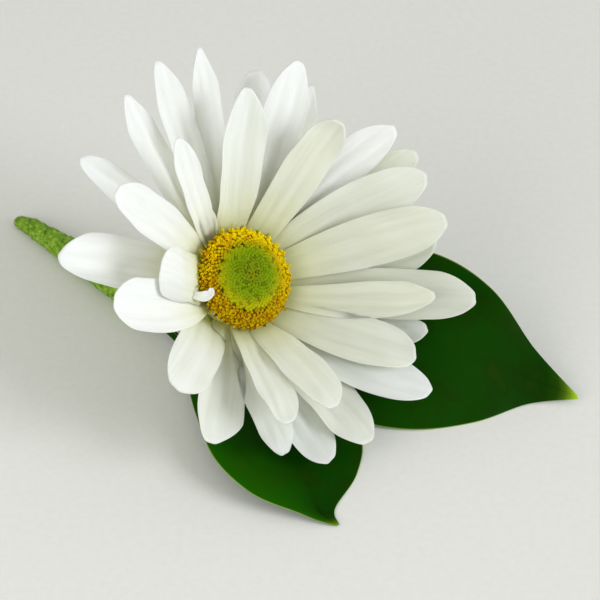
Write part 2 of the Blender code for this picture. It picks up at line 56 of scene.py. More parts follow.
# Disc of tube florets: its shape, and how far out each kind of them stands, in mm
DISC_RADIUS = 8.0
DISC_RIM_HEIGHT = 0.4
DISC_DOME = 3.3
DISC_UNDERSIDE = -1.0
DISC_SHIFT = 0.3
BED_DROP = 0.12
BUD_RADIUS = 5.2
LAST_BUD = BUD_RADIUS - 0.15
FIRST_OPEN = BUD_RADIUS - 0.05
LAST_OPEN = DISC_RADIUS - 0.2
RIM_FLORET_PLACE = DISC_RADIUS - 0.3

# How many florets there are and how they crowd; those of the upper side lag behind in opening, by
# up to YOUNG_SHIFT mm; most below the ripeness of YOUNG_UNTIL are still shut
DISC_FLORETS = 820
RIM_FLORETS = 64
FIRST_RIM_NUMBER = 900
CROWDING = 0.5
YOUNG_SHIFT = 0.5
YOUNG_REACH = 7.6
YOUNG_UNTIL = 0.74
FULLEST_WAY = math.radians(50.0)
GOLDEN_ANGLE = math.pi * (3.0 - math.sqrt(5.0))

# Sides of the round parts
FLORET_SIDES = 10
SLENDER_SIDES = 6
BED_SIDES = 72
RING_SIDES = 64
STEM_SIDES = 40
STALK_SIDES = 20

# Petals: where their roots stand, and the form that they share
ROOT_RADIUS = 6.9
ROOT_SINK = 1.1
FRONT_ROOT_HEIGHT = -1.95
LAYER_DROP = 0.63
CLAW_SHARE = 0.52
WIDEST_AT = 0.62
TIP_SHARE = 0.74
PETAL_HALF_THICKNESS = 0.13
PETAL_ROWS = 42
PETAL_COLUMNS = 27
TIP_BLUNTNESS = 0.20
TIP_TEETH = 0.003
TEETH_ACROSS = 3.2
# Share of the length from which a tip bends, and steps along a petal's middle
BEND_FROM = 0.72
MIDDLE_STEPS = 200
# Length and width from which a petal has its full relief, in mm
FULL_LENGTH = 25.0
FULL_WIDTH = 6.0
# Grooves: place across and depth of each, then their width and how far they wander
GROOVES = ((-0.36, 1.0), (0.34, 1.0), (0.0, -0.5))
GROOVE_WIDTH = 0.17
GROOVE_WANDER = 0.05
# Waves along the blade and flutter of its edges: how many, and their height in mm
WAVES = ((2.0, 0.16), (3.7, 0.09))
FLUTTER_TURNS = 2.6
FLUTTER_HEIGHT = 0.28

# One row for each petal: layer (0 is the front one), azimuth of the root, length and width
# in mm, rise, curl, sway and roll in degrees
PETALS = (
    (0.0, 20, 28.0, 8.2, 34.5, 12, -4, 8),
    (2.0, 8, 26.5, 7.2, 27, 8, 14, 0),
    (1.0, -4, 31.5, 8.4, 28, 6, 0, 0),
    (0.0, -14, 25.0, 6.0, 33, -8, 28, -6),
    (2.0, -27, 25.5, 5.2, 24, 0, 32, 0),
    (0.8, -33, 24.3, 7.8, 32.5, -8, 24, -6),
    (1.0, -44, 29.0, 7.2, 27, -8, 30, 0),
    (2.0, -44, 17.0, 5.8, 12, -10, 0, 0),
    (1.6, -58, 26.3, 7.3, 25, -8, 3, 0),
    (0.0, -66, 21.5, 6.8, 44, -12, 4, 0),
    (2.0, -74, 25.6, 6.8, 20, -6, 16, 0),
    (0.3, -87, 21.5, 6.2, 40, -12, 6, 0),
    (1.0, -86, 22.5, 5.6, 23, -6, 14, 0),
    (2.0, -98, 16.0, 6.0, 10, -8, 0, 0),
    (1.3, -105, 21.0, 7.8, 17, -10, 4, 0),
    (1.0, -126, 18.8, 8.3, 31, -30, -3, 0),
    (0.0, -154, 23.4, 8.4, 27, -24, -34, 0),
    (0.0, -174, 14.6, 8.3, 42, -14, -10, -14),
    (2.0, 178, 24.0, 8.4, 7, -14, -5, 0),
    (0.0, 157, 24.0, 7.0, 29, -12, 6, 0),
    (1.0, 148, 25.0, 5.2, 4, -8, 0, 0),
    (0.0, 128, 7.2, 2.6, 32, 0, 0, 0),
    (0.0, 131, 22.5, 4.8, 37, 6, 6, 0),
    (2.0, 130, 27.5, 5.2, 10, 6, -4, 0),
    (1.0, 118, 30.0, 5.8, 14, 4, 0, 0),
    (1.5, 105, 30.0, 5.2, 12.5, 6, 0, 0),
    (0.0, 101, 24.5, 6.8, 30, 8, -2, 0),
    (2.2, 88, 26.5, 7.2, 12, 0, 0, 0),
    (0.0, 80, 29.0, 7.0, 24, 8, 8, 0),
    (1.6, 70, 26.5, 5.2, 17.5, 4, 6, 0),
    (0.0, 66, 24.5, 7.2, 36, 12, 4, 0),
    (2.2, 59, 22.0, 4.8, 14, 4, -6, 0),
    (1.2, 53, 28.5, 7.0, 29, 12, -8, 0),
    (2.0, 41, 29.2, 6.4, 24, 10, -6, 0),
    (0.6, 38, 28.0, 8.0, 33, 14, -14, 8),
)

# What single petals do besides, by their place in the list. cup: how far the blade rounds
# upwards across its width, in radians; keel: depth of a fold along the middle; lean: the
# tip's shift to the left side; nip: how pointed the tip is; bend: turn of the tip, in degrees;
# claw and tip: widths at the root and at the tip as shares of the widest; groove: depth of the
# grooves; raise: lift of the root, in mm; cream: how creamy and dark its white is, from 0 to 1,
# as painted shade; swing and drift: azimuth and sway beyond the row's, in degrees; wide: width
# as a share of the row's
PETAL_HABITS = {
    2: {"drift": 2.0},
    3: {"nip": 0.4, "lean": -0.5, "tip": 0.6},
    4: {"drift": 4.5, "wide": 1.1},
    5: {"lean": -0.3, "tip": 0.82},
    6: {"cream_and_shade": 0.35, "drift": 2.5},
    8: {"swing": 4.0, "drift": -6.0, "wide": 1.12},
    9: {"lean": -0.4, "tip": 0.82},
    10: {"cup": 0.5, "drift": 2.5, "wide": 1.2},
    11: {"lean": -0.3, "tip": 0.8},
    12: {"keel": -0.35, "lean": -0.4, "tip": 0.8, "drift": 1.5, "wide": 1.1},
    14: {"nip": 0.3, "lean": -0.7, "cream_and_shade": 0.5, "drift": 2.0, "wide": 1.06},
    15: {"cup": 0.1, "bend": -10, "claw": 0.95, "tip": 0.85, "raise": -1.2, "cream_and_shade": 0.4},
    16: {"cup": 0.4, "bend": 12, "claw": 0.6, "tip": 0.85, "raise": 0.5},
    17: {"cup": -0.4, "bend": -20, "groove": 0.08, "claw": 0.95, "tip": 0.85, "raise": 1.3},
    18: {"cup": 0.45, "claw": 0.8, "tip": 0.65, "lean": 0.5, "cream_and_shade": 0.0},
    19: {"nip": 0.1, "tip": 0.8, "claw": 0.68},
    21: {"nip": 0.6, "tip": 0.5, "wide": 1.4},
    22: {"nip": 0.4, "claw": 0.68},
    23: {"nip": 0.4, "tip": 0.6, "cream_and_shade": 0.0},
    24: {"nip": 0.5, "tip": 0.6, "claw": 0.68},
    25: {"nip": 0.7, "tip": 0.55, "cream_and_shade": 0.0, "claw": 0.68},
    26: {"keel": 0.5, "nip": 0.3, "tip": 0.65, "cream_and_shade": 0.4, "claw": 0.68, "wide": 1.1},
    27: {"tip": 0.85, "cream_and_shade": 0.0},
    28: {"nip": 0.3, "lean": -0.3, "tip": 0.65, "cream_and_shade": 0.0, "claw": 0.68, "wide": 1.1},
    29: {"nip": 0.6, "tip": 0.6},
    30: {"bend": 30, "cream_and_shade": 0.75, "claw": 0.64},
    32: {"nip": 0.3, "lean": -0.4, "cream_and_shade": 0.0},
    34: {"nip": 0.2},
}
# Habits of a petal that has none of its own: plain values, and the ranges of those that are drawn
PLAIN_HABIT = {"keel": 0.0, "claw": CLAW_SHARE, "tip": TIP_SHARE, "raise": 0.0, "swing": 0.0,
               "drift": 0.0, "wide": 1.0}
HABIT_RANGES = (("cup", 0.26, 0.44), ("lean", -0.25, 0.25), ("nip", 0.0, 0.25),
                ("bend", -6.0, 6.0), ("groove", 0.18, 0.32))

# Curled lip of the folded petal at the disc's left side, in the bloom's own axes, in mm
LIP_PATH = (
    (-10.6, -2.7, 1.0), (-9.8, -3.1, 1.5), (-8.9, -3.5, 2.0), (-8.0, -3.6, 2.3), (-7.2, -3.3, 2.4),
    (-6.8, -2.8, 2.6), (-6.9, -2.2, 2.8),
)
LIP_FACE = (-0.2, 0.0, 1.0)
LIP_HALF_WIDTH = 0.9
LIP_ROWS = 33
LIP_COLUMNS = 9
LIP_ANGLE = math.radians(204.0)

# Collar that the petals grow from, receptacle, bracts and stem: radii and heights in mm
COLLAR_PROFILE = (
    (7.0, -3.8), (7.1, -2.8), (7.0, -1.6), (6.2, -1.5), (5.4, -1.5), (5.4, -3.9), (6.3, -3.9),
)
BOSS_RADIUS = 5.0
BOSS_TOP = -1.3
CUP_PROFILE = (
    (6.55, -4.25), (6.6, -4.8), (6.2, -5.6), (5.5, -6.4), (4.5, -7.1), (3.6, -7.7), (2.6, -8.4),
    (1.8, -9.1),
)
# Rows of bracts: how many, width, heights of root and tip, how far they stand off, first azimuth
BRACT_ROWS = (
    (11, 3.1, -6.9, -4.75, 0.30, 8.0),
    (10, 2.7, -7.9, -5.7, 0.40, -10.0),
    (8, 2.2, -8.8, -6.9, 0.35, 14.0),
)
BRACT_GRID = (13, 9)
BRACT_STAND = 0.06
BRACT_BULGE = 0.16
BRACT_HALF_THICKNESS = 0.11
STEM_RADIUS = 1.1
STEM_RIBS = 8
STEM_RIB_DEPTH = 0.045
NECK_SWELL = 0.35
NECK_SWELL_STEPS = 14
NECK_HANDLE = 5.0
NECK_STEPS = 48

# Sleeve of wound tape, from its mouth to its pinched end, and the stalks in its mouth, in mm
SLEEVE_ROWS = 190
TAPE_END = Vector((-38.4, 34.6, 0.0))
TAPE_MOUTH = Vector((-15.2, 12.5, 0.0))
TAPE_END_RADIUS = 1.15
TAPE_MOUTH_RADIUS = 2.95
TAPE_MOUTH_LENGTH = 8.5
TAPE_FLAT_DEPTH = 0.12
TAPE_PITCH = 4.2
TAPE_LAP = 0.22
CREASE_HEIGHT = 0.05
FINE_CREASE_HEIGHT = 0.035
PINCH_LENGTH = 2.6
PINCH_HEIGHT = 0.55
PINCH_SKEW = 1.0
MOUTH_BORE_RADIUS = 2.3
MOUTH_BORE_DEPTH = 6.5
STALK_INSET = 5.5
STEM_IN_BORE = 0.8
STALK_RADIUS = 0.65
STALK_OUT = 0.95
STALK_DOWN = 0.95
STALK_JOIN = 0.06
STALK_HANDLE = 2.0
STALK_STEPS = 20

# Leaves: places along both edges and the midrib, from base to tip, in mm, and their age from 0
# to 1, which yellows the tip; the lower it is, the more painted light makes one side a lighter,
# fresher green
LEAF_HALF_THICKNESS = 0.2
LEAF_ROWS = 90
LEAF_COLUMNS = 41
MIDRIB_DEPTH = 0.22
MIDRIB_WIDTH = 0.045
# Waves of the blade: how many along it, how they slant across it, and their height in mm
LEAF_WAVES = ((2.3, 2.0, 0.10), (4.9, -3.0, 0.05))
RIGHT_LEAF = {
    "age_and_side_light": 1.0,
    "left": ((-9.0, 6.8, 3.7), (3.5, 11.5, 9.6), (17.0, 15.0, 14.6), (30.0, 11.6, 16.0),
             (39.2, 6.3, 13.3), (46.0, 0.0, 6.2), (52.7, -6.2, 1.9)),
    "midrib": ((-9.0, 6.2, 3.6), (3.0, 4.6, 5.8), (16.0, 2.2, 8.2), (28.0, -0.6, 8.2),
               (38.0, -2.8, 5.9), (46.3, -4.3, 3.0), (52.8, -6.5, 1.7)),
    "right": ((-9.0, 5.6, 3.4), (4.5, -3.2, 3.4), (15.0, -10.4, 1.9), (25.5, -12.6, 0.7),
              (36.0, -10.9, 0.4), (45.0, -7.2, 0.8), (52.8, -6.9, 1.6)),
}
FRONT_LEAF = {
    "age_and_side_light": 0.4,
    "left": ((-10.0, 5.8, 1.9), (2.5, 3.0, 1.2), (12.0, -4.0, 0.7), (18.2, -13.5, 0.4),
             (17.7, -21.6, 0.5), (14.2, -28.8, 0.5), (14.8, -32.0, 0.6)),
    "midrib": ((-10.5, 5.4, 2.0), (-4.5, -2.2, 2.0), (1.0, -9.5, 2.0), (6.0, -17.5, 2.2),
               (9.6, -24.4, 1.8), (11.8, -29.8, 1.1), (14.5, -32.2, 0.6)),
    "right": ((-10.9, 5.0, 2.0), (-9.4, -3.2, 3.4), (-7.4, -13.0, 4.2), (-4.3, -22.0, 4.5),
              (1.4, -28.4, 3.6), (9.2, -31.2, 1.8), (14.2, -32.3, 0.6)),
}

# Camera of the photograph, looking down at 45 degrees
CAMERA_PLACE = (8.834, -299.227, 315.738)
CAMERA_TILT = 45.0
CAMERA_LENS = 162.6
CAMERA_SENSOR = 36.0

# Table, and each lamp's name, way, distance, size in metres, power in watts and colour
TABLE_SIZE = 4.0
LAMPS = (
    ("key", (0.82, -0.36, 0.45), 1.2, 0.6, 9.0, "F6F9FF"),
    ("fill", (-0.55, -0.62, 0.56), 0.4, 0.3, 0.45, "FFFEFA"),
)
SKY_TONE = "FFFEF7"
SKY_STRENGTH = 0.56


# Working in millimetres

def bloom_matrix():
    """Bloom frame: Z along the axis, X the in-plane way nearest to the world's X."""
    z = BLOOM_AXIS
    x = (Vector((1.0, 0.0, 0.0)) - z * z.x).normalized()
    y = z.cross(x)
    turn = Matrix((x, y, z)).transposed().to_4x4()
    return Matrix.Translation(DISC_CENTRE) @ turn


BLOOM = np.array(bloom_matrix())


def from_bloom(points):
    """Points of the bloom frame, set into the measuring frame."""
    return np.asarray(points) @ BLOOM[:3, :3].T + BLOOM[:3, 3]


def unit(ways):
    """Ways at length one."""
    ways = np.asarray(ways, float)
    return ways / np.linalg.norm(ways, axis=-1, keepdims=True)


def vectors(x, y, z):
    """A vector for every point, from its three parts."""
    return np.stack(np.broadcast_arrays(x, y, z), axis=-1)


def between(share, stations, places):
    """Places at shares of the way, on straight lines between the ones at the stations."""
    return vectors(*(np.interp(share, stations, part) for part in np.transpose(places)))


def smoothstep(low, high, value):
    """Soft step from 0 at low to 1 at high."""
    share = np.clip((value - low) / (high - low), 0.0, 1.0)
    return share * share * (3.0 - 2.0 * share)


def ring_angles(sides):
    """Angles of the points of a ring."""
    return TAU * np.arange(sides) / sides


def blade_grid(rows, columns):
    """Shares from base to tip and places across, from -1 to 1, for the points of a grid."""
    return np.meshgrid(np.linspace(0.0, 1.0, rows), np.linspace(-1.0, 1.0, columns), indexing="ij")


def grid_faces(rows, columns, ring=False):
    """Quads between neighbouring points of a grid, rows by columns."""
    i = np.arange(rows - 1)[:, None]
    j = np.arange(columns if ring else columns - 1)[None, :]
    a = i * columns + j
    b = i * columns + (j + 1) % columns
    return np.stack((a, b, b + columns, a + columns), axis=-1).reshape(-1, 4)


class Piece:
    """One piece as it grows: its points, faces and the two values that its surface carries.

    lie: mm across, mm along and the number of the blade or floret, for patterns.
    share: across from -1 to 1 or, on a floret, how ripe it is; along from 0 to 1; and a number
    from 0 to 1 by which neighbours differ.
    """

    def __init__(self):
        self.points = []
        self.faces = []
        self.lie = []
        self.share = []
        self.count = 0

    def add(self, points, faces, lie, share):
        shape = np.shape(points)
        for kept, values in ((self.points, points), (self.lie, lie), (self.share, share)):
            kept.append(np.broadcast_to(values, shape).reshape(-1, 3))
        self.faces.extend((np.asarray(faces) + self.count).tolist())
        self.count += len(self.points[-1])

    def make(self, name, node, material):
        """The finished object, standing for a solid of the frame."""
        points = (np.concatenate(self.points) + STAND) * MM
        mesh = bpy.data.meshes.new(name)
        mesh.from_pydata(points.tolist(), [], self.faces)
        for label, values in (("lie", self.lie), ("share", self.share)):
            carried = mesh.attributes.new(label, "FLOAT_VECTOR", "POINT")
            carried.data.foreach_set("vector", np.concatenate(values).astype(np.float32).ravel())
        mesh.shade_smooth()
        mesh.materials.append(material)
        piece = bpy.data.objects.new(name, mesh)
        bpy.context.scene.collection.objects.link(piece)
        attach(piece, "root")
        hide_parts(node)
        return piece


def add_blade(piece, middle, normal, half_thickness, lie, share):
    """Closed thin blade about a grid of middle points, with an upper and a lower face."""
    rows, columns = middle.shape[:2]
    faces = grid_faces(rows, columns)
    count = rows * columns
    index = np.arange(count).reshape(rows, columns)
    rim = np.concatenate((index[0], index[1:, -1], index[-1, -2::-1], index[-2:0:-1, 0]))
    after = np.roll(rim, -1)
    edge = np.stack((after, rim, rim + count, after + count), axis=-1)
    offset = normal * half_thickness[..., None]
    faces = np.concatenate((faces, faces[:, ::-1] + count, edge))
    piece.add(np.stack((middle + offset, middle - offset)), faces, lie, share)


def grid_normals(middle):
    """Normals of a grid of points, from its neighbours along and across."""
    along = np.gradient(middle, axis=0)
    across = np.gradient(middle, axis=1)
    return unit(np.cross(along, across))


def add_cap(piece, ring, centre, lie, share, turn=1):
    """Fan of triangles that closes a ring of points."""
    order = np.arange(len(ring))[::turn]
    faces = vectors(order, np.roll(order, -1), len(ring))
    piece.add(np.concatenate((ring, centre[None])), faces, lie, share)


def add_tube(piece, points, radii, sides, relief=0.0, number=0.0):
    """Closed round tube along points, its radius changed by a relief round and along it."""
    points = np.asarray([tuple(point) for point in points])
    way = unit(np.gradient(points, axis=0))
    side = unit(np.cross(way, (0.0, 0.0, 1.0)))
    top = np.cross(side, way)
    angle = ring_angles(sides)
    radius = np.asarray(radii)[:, None] * (1.0 + relief)
    radius = np.broadcast_to(radius, (len(points), sides))
    out = side[:, None] * np.sin(angle)[None, :, None] + top[:, None] * np.cos(angle)[None, :, None]
    skin = points[:, None] + out * radius[..., None]
    run = np.concatenate(((0.0,), np.cumsum(np.linalg.norm(np.diff(points, axis=0), axis=1))))
    lie = vectors(angle * np.mean(radii), run[:, None], number)
    share = vectors(np.cos(angle), (run / run[-1])[:, None], 0.5)
    piece.add(skin, grid_faces(len(points), sides, ring=True), lie, share)
    for row, turn in ((0, 1), (-1, -1)):
        add_cap(piece, skin[row], points[row], lie[row][0], share[row][0], turn)


def smooth_path(start, start_way, end, end_way, handle, steps):
    """Points of one smooth bend between two places with given ways."""
    b = start + start_way * handle
    c = end - end_way * handle
    points = []
    for step in range(steps + 1):
        t = step / steps
        u = 1.0 - t
        points.append(start * u ** 3 + b * (3 * u * u * t) + c * (3 * u * t * t) + end * t ** 3)
    return points


# Petals

def petal_half_width(share, claw, tip):
    """Half the width of a petal along its length, as a share of the widest."""
    swell = np.sin(0.5 * np.pi * np.clip(share / WIDEST_AT, 0.0, 1.0))
    lower = claw + (1.0 - claw) * swell ** 1.2
    past = np.clip((share - WIDEST_AT) / (1.0 - WIDEST_AT), 0.0, 1.0)
    return np.where(share < WIDEST_AT, lower, 1.0 - (1.0 - tip) * past ** 2)


def petal_middle(layer, azimuth, length, rise, curl, sway, roll, bend, raised):
    """Shares of the length, and the points, ways and side ways along a petal's middle."""
    fine = np.linspace(-ROOT_SINK / length, 1.0, MIDDLE_STEPS + 1)
    grown = np.clip(fine, 0.0, 1.0)
    heading = np.radians(azimuth + sway * grown)
    slope = np.radians(rise + curl * (grown - 0.5) + bend * smoothstep(BEND_FROM, 1.0, grown))
    level = np.cos(slope)
    way = vectors(np.cos(heading) * level, np.sin(heading) * level, np.sin(slope))
    steps = np.diff(fine)[:, None] * length * 0.5 * (way[1:] + way[:-1])
    points = np.concatenate((np.zeros((1, 3)), np.cumsum(steps, axis=0)))
    root = np.array((np.cos(heading[0]) * ROOT_RADIUS, np.sin(heading[0]) * ROOT_RADIUS,
                     FRONT_ROOT_HEIGHT - LAYER_DROP * layer + raised))
    points = points + root - way[0] * ROOT_SINK
    side = vectors(-np.sin(heading), np.cos(heading), 0.0)
    turn = np.radians(roll * grown)[:, None]
    side = side * np.cos(turn) + np.cross(way, side) * np.sin(turn)
    return fine, points, way, side


def add_petal(piece, number, row, habit, rng):
    """One petal with its cupped section, two grooves, waves and a worn tip."""
    layer, azimuth, length, width, rise, curl, sway, roll = row
    drawn = {name: rng.uniform(low, high) for name, low, high in HABIT_RANGES}
    habit = {**PLAIN_HABIT, **drawn, **habit}
    azimuth = azimuth + habit["swing"]
    sway = sway + habit["drift"]
    width = width * habit["wide"]
    phases = rng.uniform(0.0, TAU, 8)
    # Painted shade: the cream number makes a petal's white creamier and darker. It rises towards
    # the right side, where the petals lie in shade, and some petals set their own value, high to
    # darken them and zero to keep them whitest
    cream_and_shade = 0.40 + 0.45 * math.cos(math.radians(azimuth)) + rng.uniform(-0.12, 0.12)
    cream_and_shade = habit.get("cream_and_shade", cream_and_shade)

    fine, points, way, side = petal_middle(layer, azimuth, length, rise, curl, sway, roll,
                                           habit["bend"], habit["raise"])
    a = np.sin(0.5 * np.pi * np.linspace(-1.0, 1.0, PETAL_COLUMNS))
    u = np.linspace(0.0, 1.0, PETAL_ROWS) ** 0.92
    closing = np.clip(1.0 - np.abs(a) ** 2.2, 0.0, 1.0) ** (0.5 + 0.5 * habit["nip"])
    teeth = TIP_TEETH * np.cos(TEETH_ACROSS * np.pi * a + phases[0]) * (1.0 - a * a)
    reach = 1.005 - TIP_BLUNTNESS * (1.0 - closing) - teeth
    low = fine[0]
    s = low + u[:, None] * (reach[None, :] - low)
    s_in = np.clip(s, low, 1.0)
    middle, ahead, beside = (between(s_in, fine, values) for values in (points, way, side))
    middle = middle + ahead * (np.maximum(s - 1.0, 0.0) * length)[..., None]
    normal = np.cross(ahead, beside)

    half = 0.5 * width * petal_half_width(s, habit["claw"], habit["tip"])
    across = a[None, :] * np.ones_like(s)
    grown = np.clip(s, 0.0, 1.0)
    round_angle = habit["cup"] * np.clip(grown * 3.0, 0.25, 1.0) * np.ones_like(s)
    out = np.sin(round_angle * across) / round_angle * half
    lift = (1.0 - np.cos(round_angle * across)) / round_angle * half
    fold = (np.sqrt(across ** 2 + 0.01) - 0.1) * smoothstep(0.05, 0.3, grown)
    lift = lift + habit["keel"] * half * fold
    out = out + habit["lean"] * half * smoothstep(0.55, 1.0, grown) * (1.0 - across ** 2) * 0.6

    size_share = min(length / FULL_LENGTH, 1.0) * min(width / FULL_WIDTH, 1.0)
    fade = smoothstep(0.05, 0.35, grown) * (1.0 - smoothstep(0.80, 1.0, grown)) * size_share
    for place, depth in GROOVES:
        wander = GROOVE_WANDER * np.sin(5.0 * grown + phases[1] + 9.0 * place)
        cut = np.exp(-((across - place - wander) / GROOVE_WIDTH) ** 2)
        lift = lift - habit["groove"] * depth * fade * cut
    for (turns, height), phase in zip(WAVES, phases[2:4]):
        wave = np.sin(TAU * turns * grown + phase + 1.3 * across)
        lift = lift + height * size_share * wave * grown
    flutter = np.sin(TAU * FLUTTER_TURNS * grown + phases[4] + np.sign(across) * phases[5])
    edge = across ** 4 * smoothstep(0.2, 0.7, grown)
    lift = lift + FLUTTER_HEIGHT * size_share * flutter * edge

    skin = from_bloom(middle + beside * out[..., None] + normal * lift[..., None])
    thick = PETAL_HALF_THICKNESS * (1.25 - 0.5 * grown) * (1.0 - 0.72 * across ** 6)
    lie = vectors(across * half, s * length, 7.3 * number)
    share = vectors(across, grown * min(length / FULL_LENGTH, 1.0), cream_and_shade)
    add_blade(piece, skin, grid_normals(skin), thick, lie, share)


def add_curled_lip(piece):
    """Torn edge of the folded petal, curled up over the rim of the disc."""
    stations = np.linspace(0.0, 1.0, len(LIP_PATH))
    share = np.linspace(0.0, 1.0, LIP_ROWS)
    path = between(share, stations, LIP_PATH)
    for _ in range(3):
        path[1:-1] = 0.25 * path[:-2] + 0.5 * path[1:-1] + 0.25 * path[2:]
    way = unit(np.gradient(path, axis=0))
    beside = unit(np.cross(way, LIP_FACE))
    a = np.linspace(-1.0, 1.0, LIP_COLUMNS)[None, :, None]
    form = (1.0 - 0.65 * share ** 3) * (0.6 + 0.4 * smoothstep(0.2, 0.6, share))
    half = (LIP_HALF_WIDTH * form)[:, None, None]
    face = np.cross(beside, way)[:, None]
    skin = from_bloom(path[:, None] + beside[:, None] * a * half + face * 0.5 * half * (a * a))
    flat = a[..., 0]
    along = share[:, None]
    thick = PETAL_HALF_THICKNESS * (1.0 - 0.6 * flat ** 4)
    lie = vectors(flat, along * 4.0, 3.0)
    add_blade(piece, skin, grid_normals(skin), thick, lie, vectors(flat, 0.15 + 0.5 * along, 0.1))


def turned_ring(profile, sides, closed=True):
    """Points and faces of a profile (radius, height) turned about the bloom's axis."""
    angle = ring_angles(sides)
    rows = [vectors(r * np.cos(angle), r * np.sin(angle), h) for r, h in profile]
    if closed:
        rows.append(rows[0])
    return np.stack(rows), grid_faces(len(rows), sides, ring=True)


def make_petals(material):
    """All the white petals, with the collar that they grow from."""
    piece = Piece()
    rng = np.random.default_rng(11)
    points, faces = turned_ring(COLLAR_PROFILE, RING_SIDES)
    piece.add(from_bloom(points), faces, (0.0, 0.0, 0.0), (0.0, 0.02, 0.5))
    for number, row in enumerate(PETALS):
        add_petal(piece, number, row, PETAL_HABITS.get(number, {}), rng)
    add_curled_lip(piece)
    return piece.make("ray_petals", "ray_florets", material)


# Disc

def dome_height(radius):
    """Height of the disc's face over the rim plane at a radius."""
    share = np.clip(radius / DISC_RADIUS, 0.0, 1.0)
    return DISC_RIM_HEIGHT + DISC_DOME * (1.0 - share * share) ** 0.7


def dome_normal(radius):
    """Outward and upward part of the disc's normal at a radius."""
    step = 0.05
    inner = max(radius - step, 0.0)
    outer = min(radius + step, DISC_RADIUS - 0.1)
    rise = (dome_height(outer) - dome_height(inner)) / max(outer - inner, 1e-6)
    out = min(-rise, 1.1)
    length = math.hypot(out, 1.0)
    return out / length, 1.0 / length


def ripeness(radius, angle):
    """How open the florets are at a place, as a share: the upper side lags behind the lower."""
    lag = YOUNG_SHIFT * math.sin(angle) * max(1.0 - (radius / YOUNG_REACH) ** 4, 0.0)
    return (radius - lag) / DISC_RADIUS


def floret_places():
    """Radius and angle of every floret, in the spiral that the plant sets them in."""
    for number in range(DISC_FLORETS):
        radius = DISC_RADIUS * ((number + 0.4) / DISC_FLORETS) ** CROWDING
        yield number, radius, number * GOLDEN_ANGLE


def add_floret(piece, number, radius, angle, kind, size, rng, chance=None):
    """One floret: rings about an axis that leans out with the dome, and at random.

    chance is its number from 0 to 1 for the colour.
    """
    rings, sides, lobes, tilt = FLORETS[kind]
    out, up = dome_normal(radius)
    away = np.array((math.cos(angle), math.sin(angle), 0.0))
    sideways = np.array((-math.sin(angle), math.cos(angle), 0.0))
    axis = away * out + np.array((0.0, 0.0, up))
    axis = unit(axis + away * rng.normal(0.0, tilt) + sideways * rng.normal(0.0, tilt))
    first = unit(np.cross(axis, sideways))
    second = np.cross(axis, first)
    foot = away * radius - (DISC_SHIFT, 0.0, 0.0)
    foot[2] = dome_height(radius)
    turn = ring_angles(sides) + rng.uniform(0.0, TAU)
    wave = np.where(np.arange(sides) % 2 == 0, 1.0, -1.0)
    chance = rng.uniform() if chance is None else chance
    points = []
    share = []
    for r, h, lobe in rings:
        spread = size * r * (1.0 + lobes * lobe * wave)
        rise = size * (h - 0.10 * lobe * wave)
        flat = first * (spread * np.cos(turn))[:, None] + second * (spread * np.sin(turn))[:, None]
        points.append(foot + flat + axis * rise[:, None])
        share.append(np.tile((ripeness(radius, angle), max(h, 0.0), chance), (sides, 1)))
    faces = grid_faces(len(rings), sides, ring=True)
    points = np.concatenate(points)
    place = (radius * math.cos(angle), radius * math.sin(angle), float(number))
    piece.add(from_bloom(points), faces, place, np.concatenate(share))


def dome_bed(inner, outer):
    """Ground that the florets stand in, with its skirt down to the underside."""
    profile = [(r, float(dome_height(r)) - BED_DROP) for r in np.linspace(inner, outer, 12)]
    profile += [(outer - 0.5, -0.3), (max(outer - 1.5, inner + 0.1), DISC_UNDERSIDE)]
    if inner > 0.0:
        profile.append((inner, DISC_UNDERSIDE))
    points, faces = turned_ring(profile, BED_SIDES, closed=inner > 0.0)
    share = vectors(np.hypot(points[..., 0], points[..., 1]) / DISC_RADIUS, 0.1, 0.5)
    return from_bloom(points), faces, (0.0, 0.0, 0.0), share


# Rings of each kind of floret, from its foot up: radius, height and how much the lobes shape it
OPEN_FLORET = (
    (0.26, -0.45, 0.0), (0.28, 0.05, 0.0), (0.33, 0.34, 0.2), (0.42, 0.50, 0.6), (0.49, 0.58, 1.0),
    (0.46, 0.62, 1.0), (0.34, 0.54, 0.6), (0.21, 0.42, 0.2), (0.12, 0.30, 0.0), (0.0, 0.26, 0.0),
)
STYLE = (
    (0.09, 0.1, 0.0), (0.09, 0.60, 0.0), (0.19, 0.76, 0.6), (0.18, 0.92, 0.8), (0.06, 0.96, 0.2),
    (0.0, 0.92, 0.0),
)
SWELLING_BUD = (
    (0.46, -0.35, 0.0), (0.52, -0.05, 0.0), (0.50, 0.08, 0.2), (0.42, 0.20, 0.5), (0.27, 0.28, 0.9),
    (0.12, 0.29, 0.9), (0.0, 0.25, 0.0),
)
RIM_FLORET = (
    (0.14, -0.5, 0.0), (0.16, 0.1, 0.0), (0.15, 0.7, 0.1), (0.11, 1.3, 0.3), (0.05, 1.9, 0.2),
    (0.0, 2.1, 0.0),
)
# Rings and sides of each kind, how deep its mouth is cut and how far it leans at random
FLORETS = {
    "open": (OPEN_FLORET, FLORET_SIDES, 0.32, 0.30),
    "style": (STYLE, SLENDER_SIDES, 0.30, 0.35),
    "swelling": (SWELLING_BUD, FLORET_SIDES, 0.14, 0.20),
    "closed": (SWELLING_BUD, FLORET_SIDES, 0.14, 0.12),
    "rim": (RIM_FLORET, SLENDER_SIDES, 0.25, 0.22),
}


